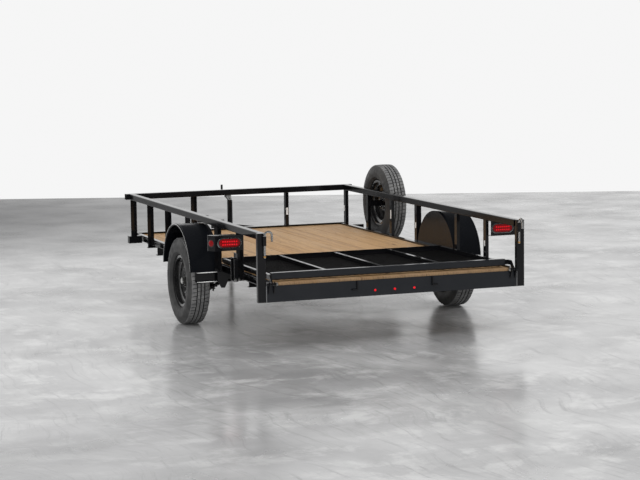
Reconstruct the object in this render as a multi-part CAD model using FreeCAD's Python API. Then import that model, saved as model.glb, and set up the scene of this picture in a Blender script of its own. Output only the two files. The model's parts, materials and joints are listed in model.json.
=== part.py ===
import FreeCAD, Part
import math
import os

V = FreeCAD.Vector

# Single-axle utility trailer, 12 ft bed with a fold-in ramp gate.
# Millimetres. +X to the trailer's right, +Y forward, +Z up, floor at z = 0.
# Everything is laid out from the rear face of the bed (y = 0) and moved at the
# end, so that the saved origin lies on the floor below the middle of the outline.

# Bed frame
bed_length = 3658.0
frame_half_width = 1004.0
ride_height = 112.0
side_rail_height = 51.0
side_rail_flange = 38.0
channel_wall = 5.0
rear_channel_height = 121.5
rear_channel_lift = 20.0
rear_channel_flange = 38.0
front_member_height = 55.0
front_member_flange = 50.0
cross_height = 42.0
cross_flange = 38.0
cross_wall = 4.0
rear_cross_y = 420.0
front_cross_setback = 445.0
tongue_cross_setback = 748.0
tongue_cross_flange = 50.0
outrigger_height = 80.0
outrigger_flange = 40.0
outrigger_setback = 38.0
outrigger_inset = 8.0
gusset_inner = 54.0
gusset_outer = 31.0
gusset_drop = 50.0

# Deck boards
board_thickness = 38.0
board_count = 11
board_gap = 3.0
board_end_gap = 3.0

# Rails and posts
rail_fender_gap = 12.2
rail_tube = 50.8
tube_wall = 3.0
post_leg = 45.0
post_wall = 5.0
rear_post_overhang = 20.0
rear_post_width = 64.0
rear_post_depth = 38.0
front_rail_overhang = 32.0
rear_bay_post = 580.0
front_post_offset = 427.0
front_post_setback = 5.0

# Wheels, axle and springs
axle_y = 1510.0
wheel_radius = 345.0
tyre_half_width = 91.0
tread_half_width = 66.0
wheel_offset = 145.4
tyre_carcass = 12.0
tyre_shoulder_share = 0.316547
tyre_bulge_share = 0.561151
tyre_flank_share = 0.805755
bead_radius = 190.5
bead_clearance = 0.3
rim_flange_radius = 206.0
rim_half_width = 62.0
rim_wall = 4.0
rim_well_radius = 166.0
disc_thickness = 5.0
disc_crown = 22.0
hub_bore_radius = 42.0
bolt_circle_radius = 57.15
bolt_count = 5
stud_radius = 6.35
hand_hole_count = 10
hand_hole_radius = 13.0
hand_hole_circle = 128.0
hub_flange_radius = 74.0
hub_flange_thickness = 11.0
hub_radius = 40.0
hub_length = 78.0
hub_nose_radius = 33.0
hub_nose_length = 34.0
cap_radius = 27.0
cap_length = 24.0
spindle_radius = 17.0
running_clearance = 0.1
axle_tube_radius = 30.2
spring_width = 45.0
spring_leaf = 7.0
spring_leaf_count = 4
spring_clearance = 50.0
spring_arch = 62.0
spring_eye_inner = 8.0
spring_eye_outer = 16.0
spring_seat = 6.0
spring_seat_half_length = 38.0
shackle_drop = 52.0
hanger_plate = 6.0
u_bolt_radius = 6.5
clamp_plate_thickness = 10.0
clamp_plate_half_length = 58.0

# Round fenders over the wheels, and the posts beside them
fender_post_gap = 11.0
fender_lead = 3.0
fender_clearance = 33.0
fender_sheet = 3.0
fender_width = 238.0
fender_lip_radius = 9.0
fender_rise = 78.0

# Spare wheel on the right side, ahead of the fender
spare_drop = 127.0
spare_clearance = 27.7
spare_reach = 120.2
spare_arm = 50.0

# Lamp boxes
tail_box_chamfer = 35.0
tail_box_skirt = 11.0
tail_box_height = 118.0
tail_box_drop = 61.0
tail_box_sheet = 3.0
right_box_shift = 33.0
tail_lamp_half_length = 95.0
tail_lamp_half_height = 38.0
tail_lamp_inner_margin = 16.0
tail_lamp_outer_margin = 20.0
tail_lamp_rim = 12.0
tail_lamp_bezel = 3.0
tail_lamp_play = 0.3
tail_lamp_depth = 24.0
tail_lamp_plug = 18.0
lens_proud = 5.0
side_lamp_radius = 29.0
front_box_width = 117.0
front_box_drop = 1.0
front_box_height = 64.0
front_box_setback = 254.0
front_box_depth = 55.0
front_lamp_radius = 20.0
rear_marker_radius = 11.0
rear_marker_drop = 80.0
rear_marker_spacing = 158.0
rear_marker_proud = 7.0

# Ramp gate, folded forward onto the deck
gate_arm_gap = 29.3
gate_bar = 50.0
gate_end_bar = 35.0
gate_bar_wall = 4.0
gate_rib_width = 26.0
gate_bays = 4
gate_rear_y = 66.0
gate_length = 1195.0
gate_rise = 12.0
gate_tilt_deg = 0.19
gate_mesh_thickness = 4.0
hinge_y = -20.0
hinge_rise = 14.0
hinge_pin_radius = 8.0
hinge_arm_inset = 36.5
hinge_arm_half_depth = 12.0
hinge_arm_thickness = 12.0
hinge_ear_gap = 9.0
hinge_ear_thickness = 8.0
hinge_ear_radius = 15.0
hinge_ear_drop = 58.0

# Latch pins on the rear faces of the rear posts
latch_inset = 13.2
latch_y = -14.0
latch_pin_radius = 8.0
latch_sleeve_radius = 13.0
latch_sleeve_drop = 20.0
latch_sleeve_length = 70.0
latch_pin_length = 161.0
latch_hook_radius = 28.0
latch_hook_drop = 46.0
latch_collar_thickness = 4.0

# Hook plates on the rear channel and brackets beside the last posts
hook_x = 323.0
hook_plate_drop = 3.0
hook_plate_height = 66.0
hook_plate_width = 46.0
hook_plate_thickness = 8.0
bracket_lamp_gap = 25.0
bracket_step = 41.0
bracket_drop = 10.0
bracket_length = 85.0
bracket_foot = 70.0
bracket_plate = 6.0
bracket_reach = 31.0

# Tongue, coupler and jack
tongue_length = 1222.0
tongue_half_angle = 25.0
tongue_height = 76.0
tongue_flange = 41.0
tongue_nose_x = 46.0
tongue_rail_front_gap = 118.0
ball_radius = 25.4
socket_clearance = 0.8
coupler_wall = 6.0
coupler_height = 62.0
coupler_body_length = 150.0
jack_offset = 62.4
jack_setout = 942.0
jack_tube_radius = 25.4
jack_tube_wall = 3.0
jack_tube_drop = 132.0
jack_tube_rise = 216.0
jack_leg_radius = 21.5
jack_leg_wall = 3.0
jack_travel = 250.0
jack_foot_size = 110.0
jack_foot_thickness = 6.0
jack_head_height = 54.0
jack_head_radius = 37.0
jack_head_offset = 20.0
jack_lid_height = 12.0
jack_crank_reach = 59.0
jack_crank_rise = 24.0
jack_crank_radius = 6.0
jack_grip_radius = 10.0
jack_grip_length = 84.0
jack_disc_radius = 42.0
jack_disc_thickness = 8.0

# Values that follow from the sizes above
web_x = frame_half_width - side_rail_flange
rail_outer = frame_half_width + rail_tube
post_outer = frame_half_width + post_leg
side_rail_bottom = wheel_radius + ride_height
side_rail_top = side_rail_bottom + side_rail_height
rear_channel_top = side_rail_bottom + rear_channel_lift
deck_bottom = side_rail_bottom
deck_top = deck_bottom + board_thickness
cross_top = side_rail_bottom
rear_post_outer = rail_outer + rear_post_overhang
rear_post_inner = rear_post_outer - rear_post_width
spring_x = frame_half_width - side_rail_flange / 2
tyre_centre_x = frame_half_width + wheel_offset
fender_y = axle_y + fender_lead
fender_radius = wheel_radius + fender_clearance
fender_centre_z = wheel_radius + fender_rise
fender_outer_x = frame_half_width + fender_width
rail_bottom = fender_centre_z + fender_radius + rail_fender_gap
rail_top = rail_bottom + rail_tube
spring_half_span = fender_radius - outrigger_inset - spring_clearance
fender_post_rear = fender_y - fender_radius - fender_post_gap
fender_post_front = fender_y + fender_radius + fender_post_gap
corner_post = bed_length - rail_tube
front_box_y = bed_length - front_box_setback
spare_x = rail_outer + spare_reach
spare_y = front_box_y - wheel_radius - spare_clearance
spare_z = rail_top - spare_drop
spare_post = spare_y + post_leg / 2
middle_post = (fender_post_front + post_leg + spare_post) / 2
tongue_slope = math.tan(math.radians(tongue_half_angle))
tongue_half = tongue_flange / 2 / math.cos(math.radians(tongue_half_angle))
tongue_cross_y = bed_length - tongue_cross_setback
front_cross_y = bed_length - front_cross_setback
middle_cross_y = (fender_post_front + tongue_cross_y) / 2
coupler_y = bed_length + tongue_length
tongue_front_y = coupler_y - tongue_rail_front_gap
tongue_top = cross_top
jack_y = bed_length + jack_setout
jack_tube_bottom = tongue_top - jack_tube_drop
jack_tube_top = tongue_top + jack_tube_rise
jack_rail_x = tongue_nose_x + (tongue_front_y - jack_y) * tongue_slope + tongue_half
jack_x = jack_rail_x + jack_offset
jack_head_x = jack_x - jack_head_offset
coupler_nose_y = coupler_y + ball_radius + socket_clearance + coupler_wall
rear_reach = latch_y - 2 * latch_hook_radius - latch_pin_radius
origin_y = (coupler_nose_y + rear_reach) / 2
outrigger_webs = [fender_y - fender_radius + outrigger_inset, fender_y + fender_radius - outrigger_inset]
outrigger_top = side_rail_bottom
tail_box_top = rail_top - tail_box_drop
tail_box_bottom = tail_box_top - tail_box_height
tail_lamp_x = frame_half_width + tail_lamp_inner_margin + tail_lamp_half_length
tail_box_corner_x = tail_lamp_x + tail_lamp_half_length + tail_lamp_outer_margin
bracket_top = tail_box_bottom - bracket_lamp_gap
tail_lamp_z = (tail_box_top + tail_box_bottom) / 2
front_box_outer = frame_half_width + front_box_width
front_box_top = side_rail_top - front_box_drop
front_box_bottom = front_box_top - front_box_height
rear_marker_z = rear_channel_top - rear_marker_drop
hinge_arm_x = rear_post_inner - hinge_arm_inset
hinge_z = rear_channel_top + hinge_rise
gate_half_width = hinge_arm_x - gate_arm_gap
latch_x = rear_post_inner + latch_inset
latch_sleeve_top = rail_top - latch_sleeve_drop
latch_pin_bottom = latch_sleeve_top - latch_pin_length


def block(x0, x1, y0, y1, z0, z1):
    """A box between two corners given as ranges."""
    return Part.makeBox(x1 - x0, y1 - y0, z1 - z0, V(x0, y0, z0))


def rod(radius, length, start, axis):
    """A round bar from a start point along an axis."""
    return Part.makeCylinder(radius, length, start, axis)


def pipe(radius, wall, length, start, axis):
    """A round tube from a start point along an axis."""
    return rod(radius, length, start, axis).cut(rod(radius - wall, length, start, axis))


def prism(points, travel):
    """A straight extrusion of a flat polygon."""
    return Part.Face(Part.makePolygon(points + [points[0]])).extrude(travel)


def mirror_x(shape):
    """The same piece on the other side of the trailer."""
    return shape.mirror(V(0, 0, 0), V(1, 0, 0))


def both_sides(shape):
    """A piece and its mirror image, as two solids."""
    return Part.makeCompound([shape, mirror_x(shape)])


def fuse(shapes):
    """One solid from pieces that touch or overlap."""
    joined = shapes[0].multiFuse(shapes[1:]) if len(shapes) > 1 else shapes[0]
    return joined.removeSplitter()


def save(node, shape):
    """Move a piece to the saved origin and write its file."""
    placed = shape.copy()
    placed.translate(V(0, -origin_y, 0))
    placed.exportStep("parts/" + node + ".step")


def channel_profile(height, flange, wall):
    """Corners of a C section: web on the Z axis, flanges towards +X."""
    return [
        (0, 0), (flange, 0), (flange, wall), (wall, wall),
        (wall, height - wall), (flange, height - wall), (flange, height), (0, height),
    ]


def channel_y(web, side, y0, y1, z0, height, flange, wall):
    """A channel that runs along Y, its flanges pointing to side (+1 or -1) in X."""
    points = [V(web + side * a, y0, z0 + b) for a, b in channel_profile(height, flange, wall)]
    return prism(points, V(0, y1 - y0, 0))


def channel_x(web, side, x0, x1, z0, height, flange, wall):
    """A channel that runs along X, its flanges pointing to side (+1 or -1) in Y."""
    points = [V(x0, web + side * a, z0 + b) for a, b in channel_profile(height, flange, wall)]
    return prism(points, V(x1 - x0, 0, 0))


def square_tube(x0, x1, y0, y1, z0, z1, axis, wall):
    """A rectangular tube with rounded corners, open at both ends along axis."""
    body = block(x0, x1, y0, y1, z0, z1)
    long_edges = [e for e in body.Edges if abs(e.tangentAt(0).dot(axis)) > 0.99]
    body = body.makeFillet(wall * 1.5, long_edges)
    inset = V(wall, wall, wall) - axis * wall
    bore = block(x0 + inset.x, x1 - inset.x, y0 + inset.y, y1 - inset.y, z0 + inset.z, z1 - inset.z)
    return body.cut(bore)


def make_side_rails():
    return channel_y(web_x, 1, rear_post_depth, bed_length - front_member_flange,
                     side_rail_bottom, side_rail_height, side_rail_flange, channel_wall)


def make_front_member():
    return channel_x(bed_length, -1, -frame_half_width, frame_half_width,
                     side_rail_bottom, front_member_height, front_member_flange, channel_wall)


def make_rear_channel():
    bottom = rear_channel_top - rear_channel_height
    channel = channel_x(0, 1, -rear_post_inner, rear_post_inner, bottom,
                        rear_channel_height, rear_channel_flange, channel_wall)
    for x in marker_stations():
        hole = rod(rear_marker_radius - 3.0, channel_wall * 3, V(x, -channel_wall, rear_marker_z), V(0, 1, 0))
        channel = channel.cut(hole)
    return channel


def make_crossmembers():
    """Light channels under the boards and the deep one that the tongue butts against."""
    members = []
    for y in (rear_cross_y, middle_cross_y, front_cross_y):
        members.append(channel_x(y, 1, -frame_half_width, frame_half_width,
                                 cross_top - cross_height, cross_height, cross_flange, cross_wall))
    members.append(channel_x(tongue_cross_y, 1, -frame_half_width, frame_half_width,
                             tongue_top - tongue_height, tongue_height, tongue_cross_flange, channel_wall))
    return Part.makeCompound(members)


def make_outriggers():
    members = []
    reach = fender_outer_x - outrigger_setback
    for web, side in zip(outrigger_webs, (-1, 1)):
        members.append(channel_x(web, side, -reach, reach, outrigger_top - outrigger_height,
                                 outrigger_height, outrigger_flange, channel_wall))
    return Part.makeCompound(members)


def make_gussets():
    """Six-sided plates on the rear outriggers, under each side rail."""
    y = outrigger_webs[0] - outrigger_flange
    x0, x1 = frame_half_width - gusset_inner, frame_half_width + gusset_outer
    z0 = outrigger_top - outrigger_height - gusset_drop
    points = [
        V(x0 + 22, y, outrigger_top), V(x1, y, outrigger_top), V(x1, y, z0 + 60),
        V(x1 - 30, y, z0), V(x0 + 26, y, z0), V(x0, y, z0 + 52), V(x0, y, outrigger_top - 22),
    ]
    return both_sides(prism(points, V(0, -6.0, 0)))


def make_deck():
    width = 2 * web_x - 2 * board_gap
    pitch = (width + board_gap) / board_count
    y0 = board_end_gap + channel_wall
    y1 = bed_length - channel_wall - board_end_gap
    boards = []
    for i in range(board_count):
        x0 = -web_x + board_gap + i * pitch
        board = block(x0, x0 + pitch - board_gap, y0, y1, deck_bottom, deck_top)
        boards.append(board)
    lower = rear_channel_top
    ledge = block(-web_x, web_x, 0, rear_channel_flange + board_end_gap, deck_bottom - 5, lower)
    front = block(-web_x, web_x, bed_length - front_member_flange - board_end_gap, bed_length,
                  deck_bottom - 5, side_rail_bottom + channel_wall)
    return Part.makeCompound([b.cut(ledge).cut(front) for b in boards])


def make_side_top_rail():
    return square_tube(frame_half_width, rail_outer, rear_post_depth, bed_length - rail_tube,
                       rail_bottom, rail_top, V(0, 1, 0), tube_wall)


def make_front_top_rail():
    reach = rail_outer + front_rail_overhang
    return square_tube(-reach, reach, bed_length - rail_tube, bed_length,
                       rail_bottom, rail_top, V(1, 0, 0), tube_wall)


def angle_post(x, y, side, z0):
    """An angle on end below the rails: its corner at (x, y), one leg outwards, one along side * Y."""
    leg, wall = post_leg, post_wall
    section = [(0, 0), (leg, 0), (leg, wall), (wall, wall), (wall, leg), (0, leg)]
    points = [V(x + a, y + side * b, z0) for a, b in section]
    return prism(points, V(0, 0, rail_bottom - z0))


def post_stations():
    """Corner of each side post along the rail, with the way its long leg points."""
    rear_facing = [rear_bay_post, fender_post_rear, corner_post, spare_post, middle_post]
    return [(y, -1) for y in rear_facing] + [(fender_post_front, 1)]


def make_side_posts():
    return Part.makeCompound([angle_post(frame_half_width, y, side, side_rail_bottom)
                              for y, side in post_stations()])


def make_front_posts():
    foot = side_rail_bottom + front_member_height
    return both_sides(angle_post(front_post_offset, bed_length - front_post_setback, -1, foot))


def make_rear_post():
    x0, x1 = rear_post_inner, rear_post_outer
    bottom = rear_channel_top - rear_channel_height
    tube = square_tube(x0, x1, 0, rear_post_depth, bottom, rail_top - 4.0, V(0, 0, 1), tube_wall)
    cap = block(x0 + 1, x1 - 1, 1, rear_post_depth - 1, rail_top - 6.0, rail_top)
    return fuse([tube, cap])


def make_tongue_rail():
    """One leg of the A frame, from the deep crossmember to the coupler."""
    rear_y = tongue_cross_y + tongue_cross_flange
    x_front = tongue_nose_x
    x_rear = x_front + (tongue_front_y - rear_y) * tongue_slope
    half = tongue_half
    z0 = tongue_top - tongue_height
    outline = [
        V(x_front - half, tongue_front_y, z0), V(x_front + half, tongue_front_y, z0),
        V(x_rear + half, rear_y, z0), V(x_rear - half, rear_y, z0),
    ]
    leg = prism(outline, V(0, 0, tongue_height))
    wall = channel_wall / math.cos(math.radians(tongue_half_angle))
    hollow = [
        V(x_front - half - 1, tongue_front_y + 1, z0 + channel_wall),
        V(x_front + half - wall, tongue_front_y + 1, z0 + channel_wall),
        V(x_rear + half - wall, rear_y - 1, z0 + channel_wall),
        V(x_rear - half - 1, rear_y - 1, z0 + channel_wall),
    ]
    leg = leg.cut(prism(hollow, V(0, 0, tongue_height - 2 * channel_wall)))
    zone = block(0, frame_half_width, front_cross_y - 1, front_cross_y + cross_flange + 1,
                 tongue_top - cross_height - 0.5, tongue_top + 1)
    return leg.cut(zone)


def make_coupler():
    """Pressed A-frame coupler: a hollow wedge with a ball cup at its nose."""
    z1 = tongue_top
    z_top = z1 + coupler_height * 0.45
    z_low = z1 - coupler_height * 0.45
    rear = tongue_front_y - coupler_body_length
    cup = ball_radius + socket_clearance
    nose = cup + coupler_wall
    rear_half = tongue_nose_x + coupler_body_length * tongue_slope + 34.0
    outer = prism([V(-rear_half, rear, z1), V(rear_half, rear, z1),
                   V(nose, coupler_y, z1), V(-nose, coupler_y, z1)], V(0, 0, z_top - z1))
    inner = prism([V(-rear_half + 6, rear - 1, z1 - 1), V(rear_half - 6, rear - 1, z1 - 1),
                   V(nose - 6, coupler_y - 20, z1 - 1), V(-nose + 6, coupler_y - 20, z1 - 1)],
                  V(0, 0, z_top - z1 - coupler_wall + 1))
    shell = outer.cut(inner)
    barrel = rod(nose, z_top - z_low, V(0, coupler_y, z_low), V(0, 0, 1))
    dome = Part.makeSphere(nose, V(0, coupler_y, z_top - 10))
    body = shell.fuse(barrel).fuse(dome)
    reach = 2 * nose
    body = body.cut(block(-reach, reach, coupler_y - reach, coupler_y + reach, z_top + 24, z_top + reach))
    cavity = rod(cup, z_top - 14 - z_low + 1, V(0, coupler_y, z_low - 1), V(0, 0, 1))
    top = Part.makeSphere(cup, V(0, coupler_y, z_top - 14))
    body = body.cut(cavity).cut(top)
    return body.removeSplitter()


def make_coupler_latch():
    """Lever that lies along the top of the coupler."""
    z0 = tongue_top + coupler_height * 0.45
    y0 = coupler_y - coupler_body_length
    base = block(-12, 12, y0, y0 + 70, z0, z0 + 26)
    lever = block(-9, 9, y0 - 46, y0 + 92, z0 + 26, z0 + 34)
    tail = block(-9, 9, y0 - 62, y0 - 46, z0 + 26, z0 + 44)
    return fuse([base, lever, tail])


def make_jack_bracket():
    """Swivel plate on the right tongue leg, with its disc at the jack tube."""
    rail_x = jack_rail_x
    z0 = tongue_top - tongue_height
    x1 = jack_x - jack_tube_radius - jack_disc_thickness
    slope = tongue_slope * 45.0
    outline = [
        V(rail_x - slope, jack_y + 45, z0), V(x1, jack_y + 45, z0),
        V(x1, jack_y - 45, z0), V(rail_x + slope, jack_y - 45, z0),
    ]
    plate = prism(outline, V(0, 0, tongue_height))
    disc = rod(jack_disc_radius, jack_disc_thickness + 6.0, V(x1, jack_y, z0 + tongue_height / 2), V(1, 0, 0))
    tube_room = rod(jack_tube_radius, 3 * tongue_height, V(jack_x, jack_y, z0 - tongue_height), V(0, 0, 1))
    return fuse([plate, disc]).cut(tube_room)


def make_jack_tube():
    return pipe(jack_tube_radius, jack_tube_wall, jack_tube_top - jack_tube_bottom,
                V(jack_x, jack_y, jack_tube_bottom), V(0, 0, 1))


def make_jack_head():
    """Gear housing: a funnel that leans to the crank's side, under a flat lid."""
    z0 = jack_tube_top
    z1 = z0 + jack_head_height - jack_lid_height
    foot = Part.Wire([Part.makeCircle(jack_tube_radius - jack_tube_wall, V(jack_x, jack_y, z0), V(0, 0, 1))])
    brim = Part.Wire([Part.makeCircle(jack_head_radius, V(jack_head_x, jack_y, z1), V(0, 0, 1))])
    funnel = Part.makeLoft([foot, brim], True, True)
    lid = Part.makeCone(jack_head_radius, jack_head_radius * 0.7, jack_lid_height,
                        V(jack_head_x, jack_y, z1), V(0, 0, 1))
    return fuse([funnel, lid])


def make_jack_crank():
    """Crank on top of the head: shaft, boss, arm and upright grip."""
    z0 = jack_tube_top + jack_head_height
    z1 = z0 + jack_crank_rise
    boss_radius = jack_crank_radius + 4.0
    shaft = rod(jack_crank_radius, jack_crank_rise, V(jack_head_x, jack_y, z0), V(0, 0, 1))
    boss = rod(boss_radius, 2 * boss_radius, V(jack_head_x, jack_y, z1 - boss_radius), V(0, 0, 1))
    arm = rod(jack_crank_radius, jack_crank_reach, V(jack_head_x, jack_y, z1), V(-1, 0, 0))
    grip = rod(jack_grip_radius, jack_grip_length,
               V(jack_head_x - jack_crank_reach, jack_y, z1 - jack_grip_radius), V(0, 0, 1))
    return fuse([shaft, boss, arm, grip])


def make_jack_leg():
    top = jack_tube_top - jack_travel - 4.0
    leg = pipe(jack_leg_radius, jack_leg_wall, top - jack_foot_thickness,
               V(jack_x, jack_y, jack_foot_thickness), V(0, 0, 1))
    half = jack_foot_size / 2
    foot = block(jack_x - half, jack_x + half, jack_y - half, jack_y + half, 0, jack_foot_thickness)
    vertical = [e for e in foot.Edges if abs(e.tangentAt(0).z) > 0.99]
    foot = foot.makeFillet(14.0, vertical)
    return fuse([leg, foot])


def make_axle():
    """Round axle tube with a turned spindle at each end."""
    shoulder = tyre_centre_x - hub_length - 6.0
    tube = rod(axle_tube_radius, 2 * shoulder, V(-shoulder, axle_y, wheel_radius), V(1, 0, 0))
    spindle_end = tyre_centre_x + 12.0
    spindle = rod(spindle_radius, 2 * spindle_end, V(-spindle_end, axle_y, wheel_radius), V(1, 0, 0))
    return fuse([tube, spindle])


def spring_centre_z():
    """Height of the top of the spring pack below the axle."""
    return wheel_radius - axle_tube_radius - spring_seat


def spring_eye_z():
    return spring_centre_z() + spring_arch


def leaf(level):
    """One leaf as a bent strip; each lower leaf is shorter than the one above."""
    radius = (spring_half_span ** 2 + spring_arch ** 2) / (2 * spring_arch)
    centre = V(0, axle_y, spring_centre_z() + radius)
    inner = radius + level * spring_leaf
    outer = inner + spring_leaf
    share = 1.0 if level == 0 else 1.0 - 0.24 * level
    swing = math.asin(spring_half_span / radius) * share

    def at(r, angle):
        return V(0, centre.y + r * math.sin(angle), centre.z - r * math.cos(angle))

    upper = Part.Arc(at(inner, -swing), at(inner, 0), at(inner, swing)).toShape()
    lower = Part.Arc(at(outer, swing), at(outer, 0), at(outer, -swing)).toShape()
    ends = [Part.makeLine(at(inner, swing), at(outer, swing)),
            Part.makeLine(at(outer, -swing), at(inner, -swing))]
    face = Part.Face(Part.Wire([upper, ends[0], lower, ends[1]]))
    strip = face.extrude(V(spring_width, 0, 0))
    strip.translate(V(spring_x - spring_width / 2, 0, 0))
    return strip


def spring_eye_stations():
    return [axle_y - spring_half_span, axle_y + spring_half_span]


def make_spring():
    pieces = [leaf(level) for level in range(spring_leaf_count)]
    z = spring_eye_z() + spring_leaf / 2
    x0 = spring_x - spring_width / 2
    for y in spring_eye_stations():
        pieces.append(rod(spring_eye_outer, spring_width, V(x0, y, z), V(1, 0, 0)))
    pack = fuse(pieces)
    for y in spring_eye_stations():
        pack = pack.cut(rod(spring_eye_inner, spring_width, V(x0, y, z), V(1, 0, 0)))
    return pack


def make_spring_hangers():
    """Front hanger plates, rear hanger with shackle links, and their bolts."""
    z = spring_eye_z() + spring_leaf / 2
    side = spring_width / 2 + 1.0
    pieces = []
    rear_y, front_y = spring_eye_stations()
    for sign in (-1, 1):
        a = spring_x + sign * side
        b = a + sign * hanger_plate
        x0, x1 = min(a, b), max(a, b)
        ear = prism([V(x0, front_y - 34, side_rail_bottom), V(x0, front_y + 34, side_rail_bottom),
                     V(x0, front_y + 18, z - 20), V(x0, front_y - 18, z - 20)], V(x1 - x0, 0, 0))
        link = block(x0, x1, rear_y - 14, rear_y + 14, z - 18, z + shackle_drop + 14)
        pieces.extend([ear, link])
    z_pin = z + shackle_drop
    tab = block(spring_x - spring_width / 2, spring_x + spring_width / 2,
                rear_y - 20, rear_y + 20, z_pin - 14, side_rail_bottom)
    pieces.append(tab)
    for y, height in ((front_y, z), (rear_y, z), (rear_y, z_pin)):
        pieces.append(rod(spring_eye_inner - 0.3, 2 * (side + hanger_plate) + 16,
                          V(spring_x - side - hanger_plate - 8, y, height), V(1, 0, 0)))
    return fuse(pieces)


def make_axle_clamps(spring):
    """Tie plate under the spring, seat above it and two U bolts over the axle."""
    z_top = spring_centre_z()
    z_low = z_top - spring_leaf * spring_leaf_count
    half = spring_width / 2 + 18.0
    plate = block(spring_x - half, spring_x + half, axle_y - clamp_plate_half_length,
                  axle_y + clamp_plate_half_length, z_low - clamp_plate_thickness, z_low)
    seat = block(spring_x - spring_width / 2, spring_x + spring_width / 2,
                 axle_y - spring_seat_half_length, axle_y + spring_seat_half_length, z_top, wheel_radius)
    tube_room = rod(axle_tube_radius, 2 * half, V(spring_x - half, axle_y, wheel_radius), V(1, 0, 0))
    seat = seat.cut(tube_room).cut(spring)
    bolts = []
    reach = axle_tube_radius + u_bolt_radius
    leg_offset = spring_width / 2 + u_bolt_radius + 1
    for x in (spring_x - leg_offset, spring_x + leg_offset):
        for y in (axle_y - reach, axle_y + reach):
            bolts.append(rod(u_bolt_radius, wheel_radius - z_low + clamp_plate_thickness + 18,
                             V(x, y, z_low - clamp_plate_thickness - 18), V(0, 0, 1)))
        ring = Part.makeTorus(reach, u_bolt_radius, V(x, axle_y, wheel_radius), V(1, 0, 0))
        upper = block(x - reach, x + reach, axle_y - 2 * reach, axle_y + 2 * reach,
                      wheel_radius, wheel_radius + 2 * reach)
        bolts.append(ring.common(upper))
    return [fuse([plate] + bolts), seat]


def revolve_x(profile, angle=360.0, start=None):
    """Turn a closed profile, given as (x, radius) pairs, round the X axis."""
    points = [V(x, 0, r) for x, r in profile]
    face = Part.Face(Part.makePolygon(points + [points[0]]))
    return face.revolve(V(0, 0, 0), V(1, 0, 0), angle)


def make_tyre():
    """Tyre about the X axis, its middle at x = 0: tread, shoulders, walls and beads."""
    h, t, r, w = tyre_half_width, tread_half_width, wheel_radius, rim_half_width
    bead = bead_radius + bead_clearance
    toe = w - rim_wall - 0.5
    wall = r - rim_flange_radius
    shoulder = r - tyre_shoulder_share * wall
    bulge = r - tyre_bulge_share * wall
    flank = r - tyre_flank_share * wall
    outer = [
        (t * 0.55, r), (t, r - 3.0), (t + 9.0, r - 13.0), (h - 5.0, shoulder), (h, bulge),
        (h - 6.0, flank), (w + 6.0, rim_flange_radius + 8.0), (toe, rim_flange_radius + 1.5), (toe, bead),
    ]
    inner = [
        (toe - 18.0, bead), (w - 10.0, bead + 24.0), (h - tyre_carcass - 6.0, flank),
        (h - tyre_carcass, bulge), (t + 2.0, r - 34.0), (t * 0.8, r - 17.0),
    ]
    half = outer + inner
    profile = half + [(-x, y) for x, y in reversed(half)]
    return revolve_x(profile)


def make_rim():
    """Pressed steel wheel: barrel, crowned disc, hand holes and stud holes. Outside is +X."""
    w, fr, br, wr = rim_half_width, rim_flange_radius, bead_radius, rim_well_radius
    t = rim_wall
    outer = [(-w, fr), (-w + t, fr), (-w + t, br), (-w + 26, br - 1), (-w + 36, wr), (w - 44, wr),
             (w - 32, br - 1), (w - t, br), (w - t, fr), (w, fr)]
    inner = [(w, br - t), (w - 30, br - t - 1), (w - 42, wr - t), (-w + 34, wr - t),
             (-w + 24, br - t - 1), (-w, br - t)]
    barrel = revolve_x(outer + inner)
    d, c = disc_thickness, disc_crown
    seam = wr - t
    disc = revolve_x([
        (0, hub_bore_radius), (0, 78.0), (c, 104.0), (c, 138.0), (6.0, seam - 6.0), (-8.0, seam - 6.0),
        (-8.0, seam), (10.0, seam), (c + d, 142.0), (c + d, 101.0), (d, 74.0), (d, hub_bore_radius),
    ])
    for i in range(bolt_count):
        angle = math.radians(90 + i * 360 / bolt_count)
        centre = V(-20, bolt_circle_radius * math.cos(angle), bolt_circle_radius * math.sin(angle))
        disc = disc.cut(rod(stud_radius + 0.7, 60, centre, V(1, 0, 0)))
    for i in range(hand_hole_count):
        angle = math.radians(i * 360 / hand_hole_count)
        centre = V(-20, hand_hole_circle * math.cos(angle), hand_hole_circle * math.sin(angle))
        disc = disc.cut(rod(hand_hole_radius, 80, centre, V(1, 0, 0)))
    return barrel.fuse(disc)


def make_hub():
    """Hub with flange, nose and studs; its mounting face is at x = 0, outside is +X."""
    flange = rod(hub_flange_radius, hub_flange_thickness, V(-hub_flange_thickness, 0, 0), V(1, 0, 0))
    body = rod(hub_radius, hub_length, V(-hub_length, 0, 0), V(1, 0, 0))
    nose = rod(hub_nose_radius, hub_nose_length, V(0, 0, 0), V(1, 0, 0))
    pieces = [flange, body, nose]
    for i in range(bolt_count):
        angle = math.radians(90 + i * 360 / bolt_count)
        centre = V(-hub_flange_thickness, bolt_circle_radius * math.cos(angle),
                   bolt_circle_radius * math.sin(angle))
        pieces.append(rod(stud_radius, hub_flange_thickness + 30.0, centre, V(1, 0, 0)))
    hub = fuse(pieces)
    bore = rod(spindle_radius + running_clearance, hub_length + 20.0, V(-hub_length, 0, 0), V(1, 0, 0))
    return hub.cut(bore)


def make_grease_cap():
    body = rod(cap_radius, cap_length - 6.0, V(hub_nose_length, 0, 0), V(1, 0, 0))
    end = Part.makeCone(cap_radius, cap_radius - 7.0, 6.0,
                        V(hub_nose_length + cap_length - 6.0, 0, 0), V(1, 0, 0))
    return fuse([body, end])


def at_right_wheel(shape):
    placed = shape.copy()
    placed.translate(V(tyre_centre_x, axle_y, wheel_radius))
    return placed


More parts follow.
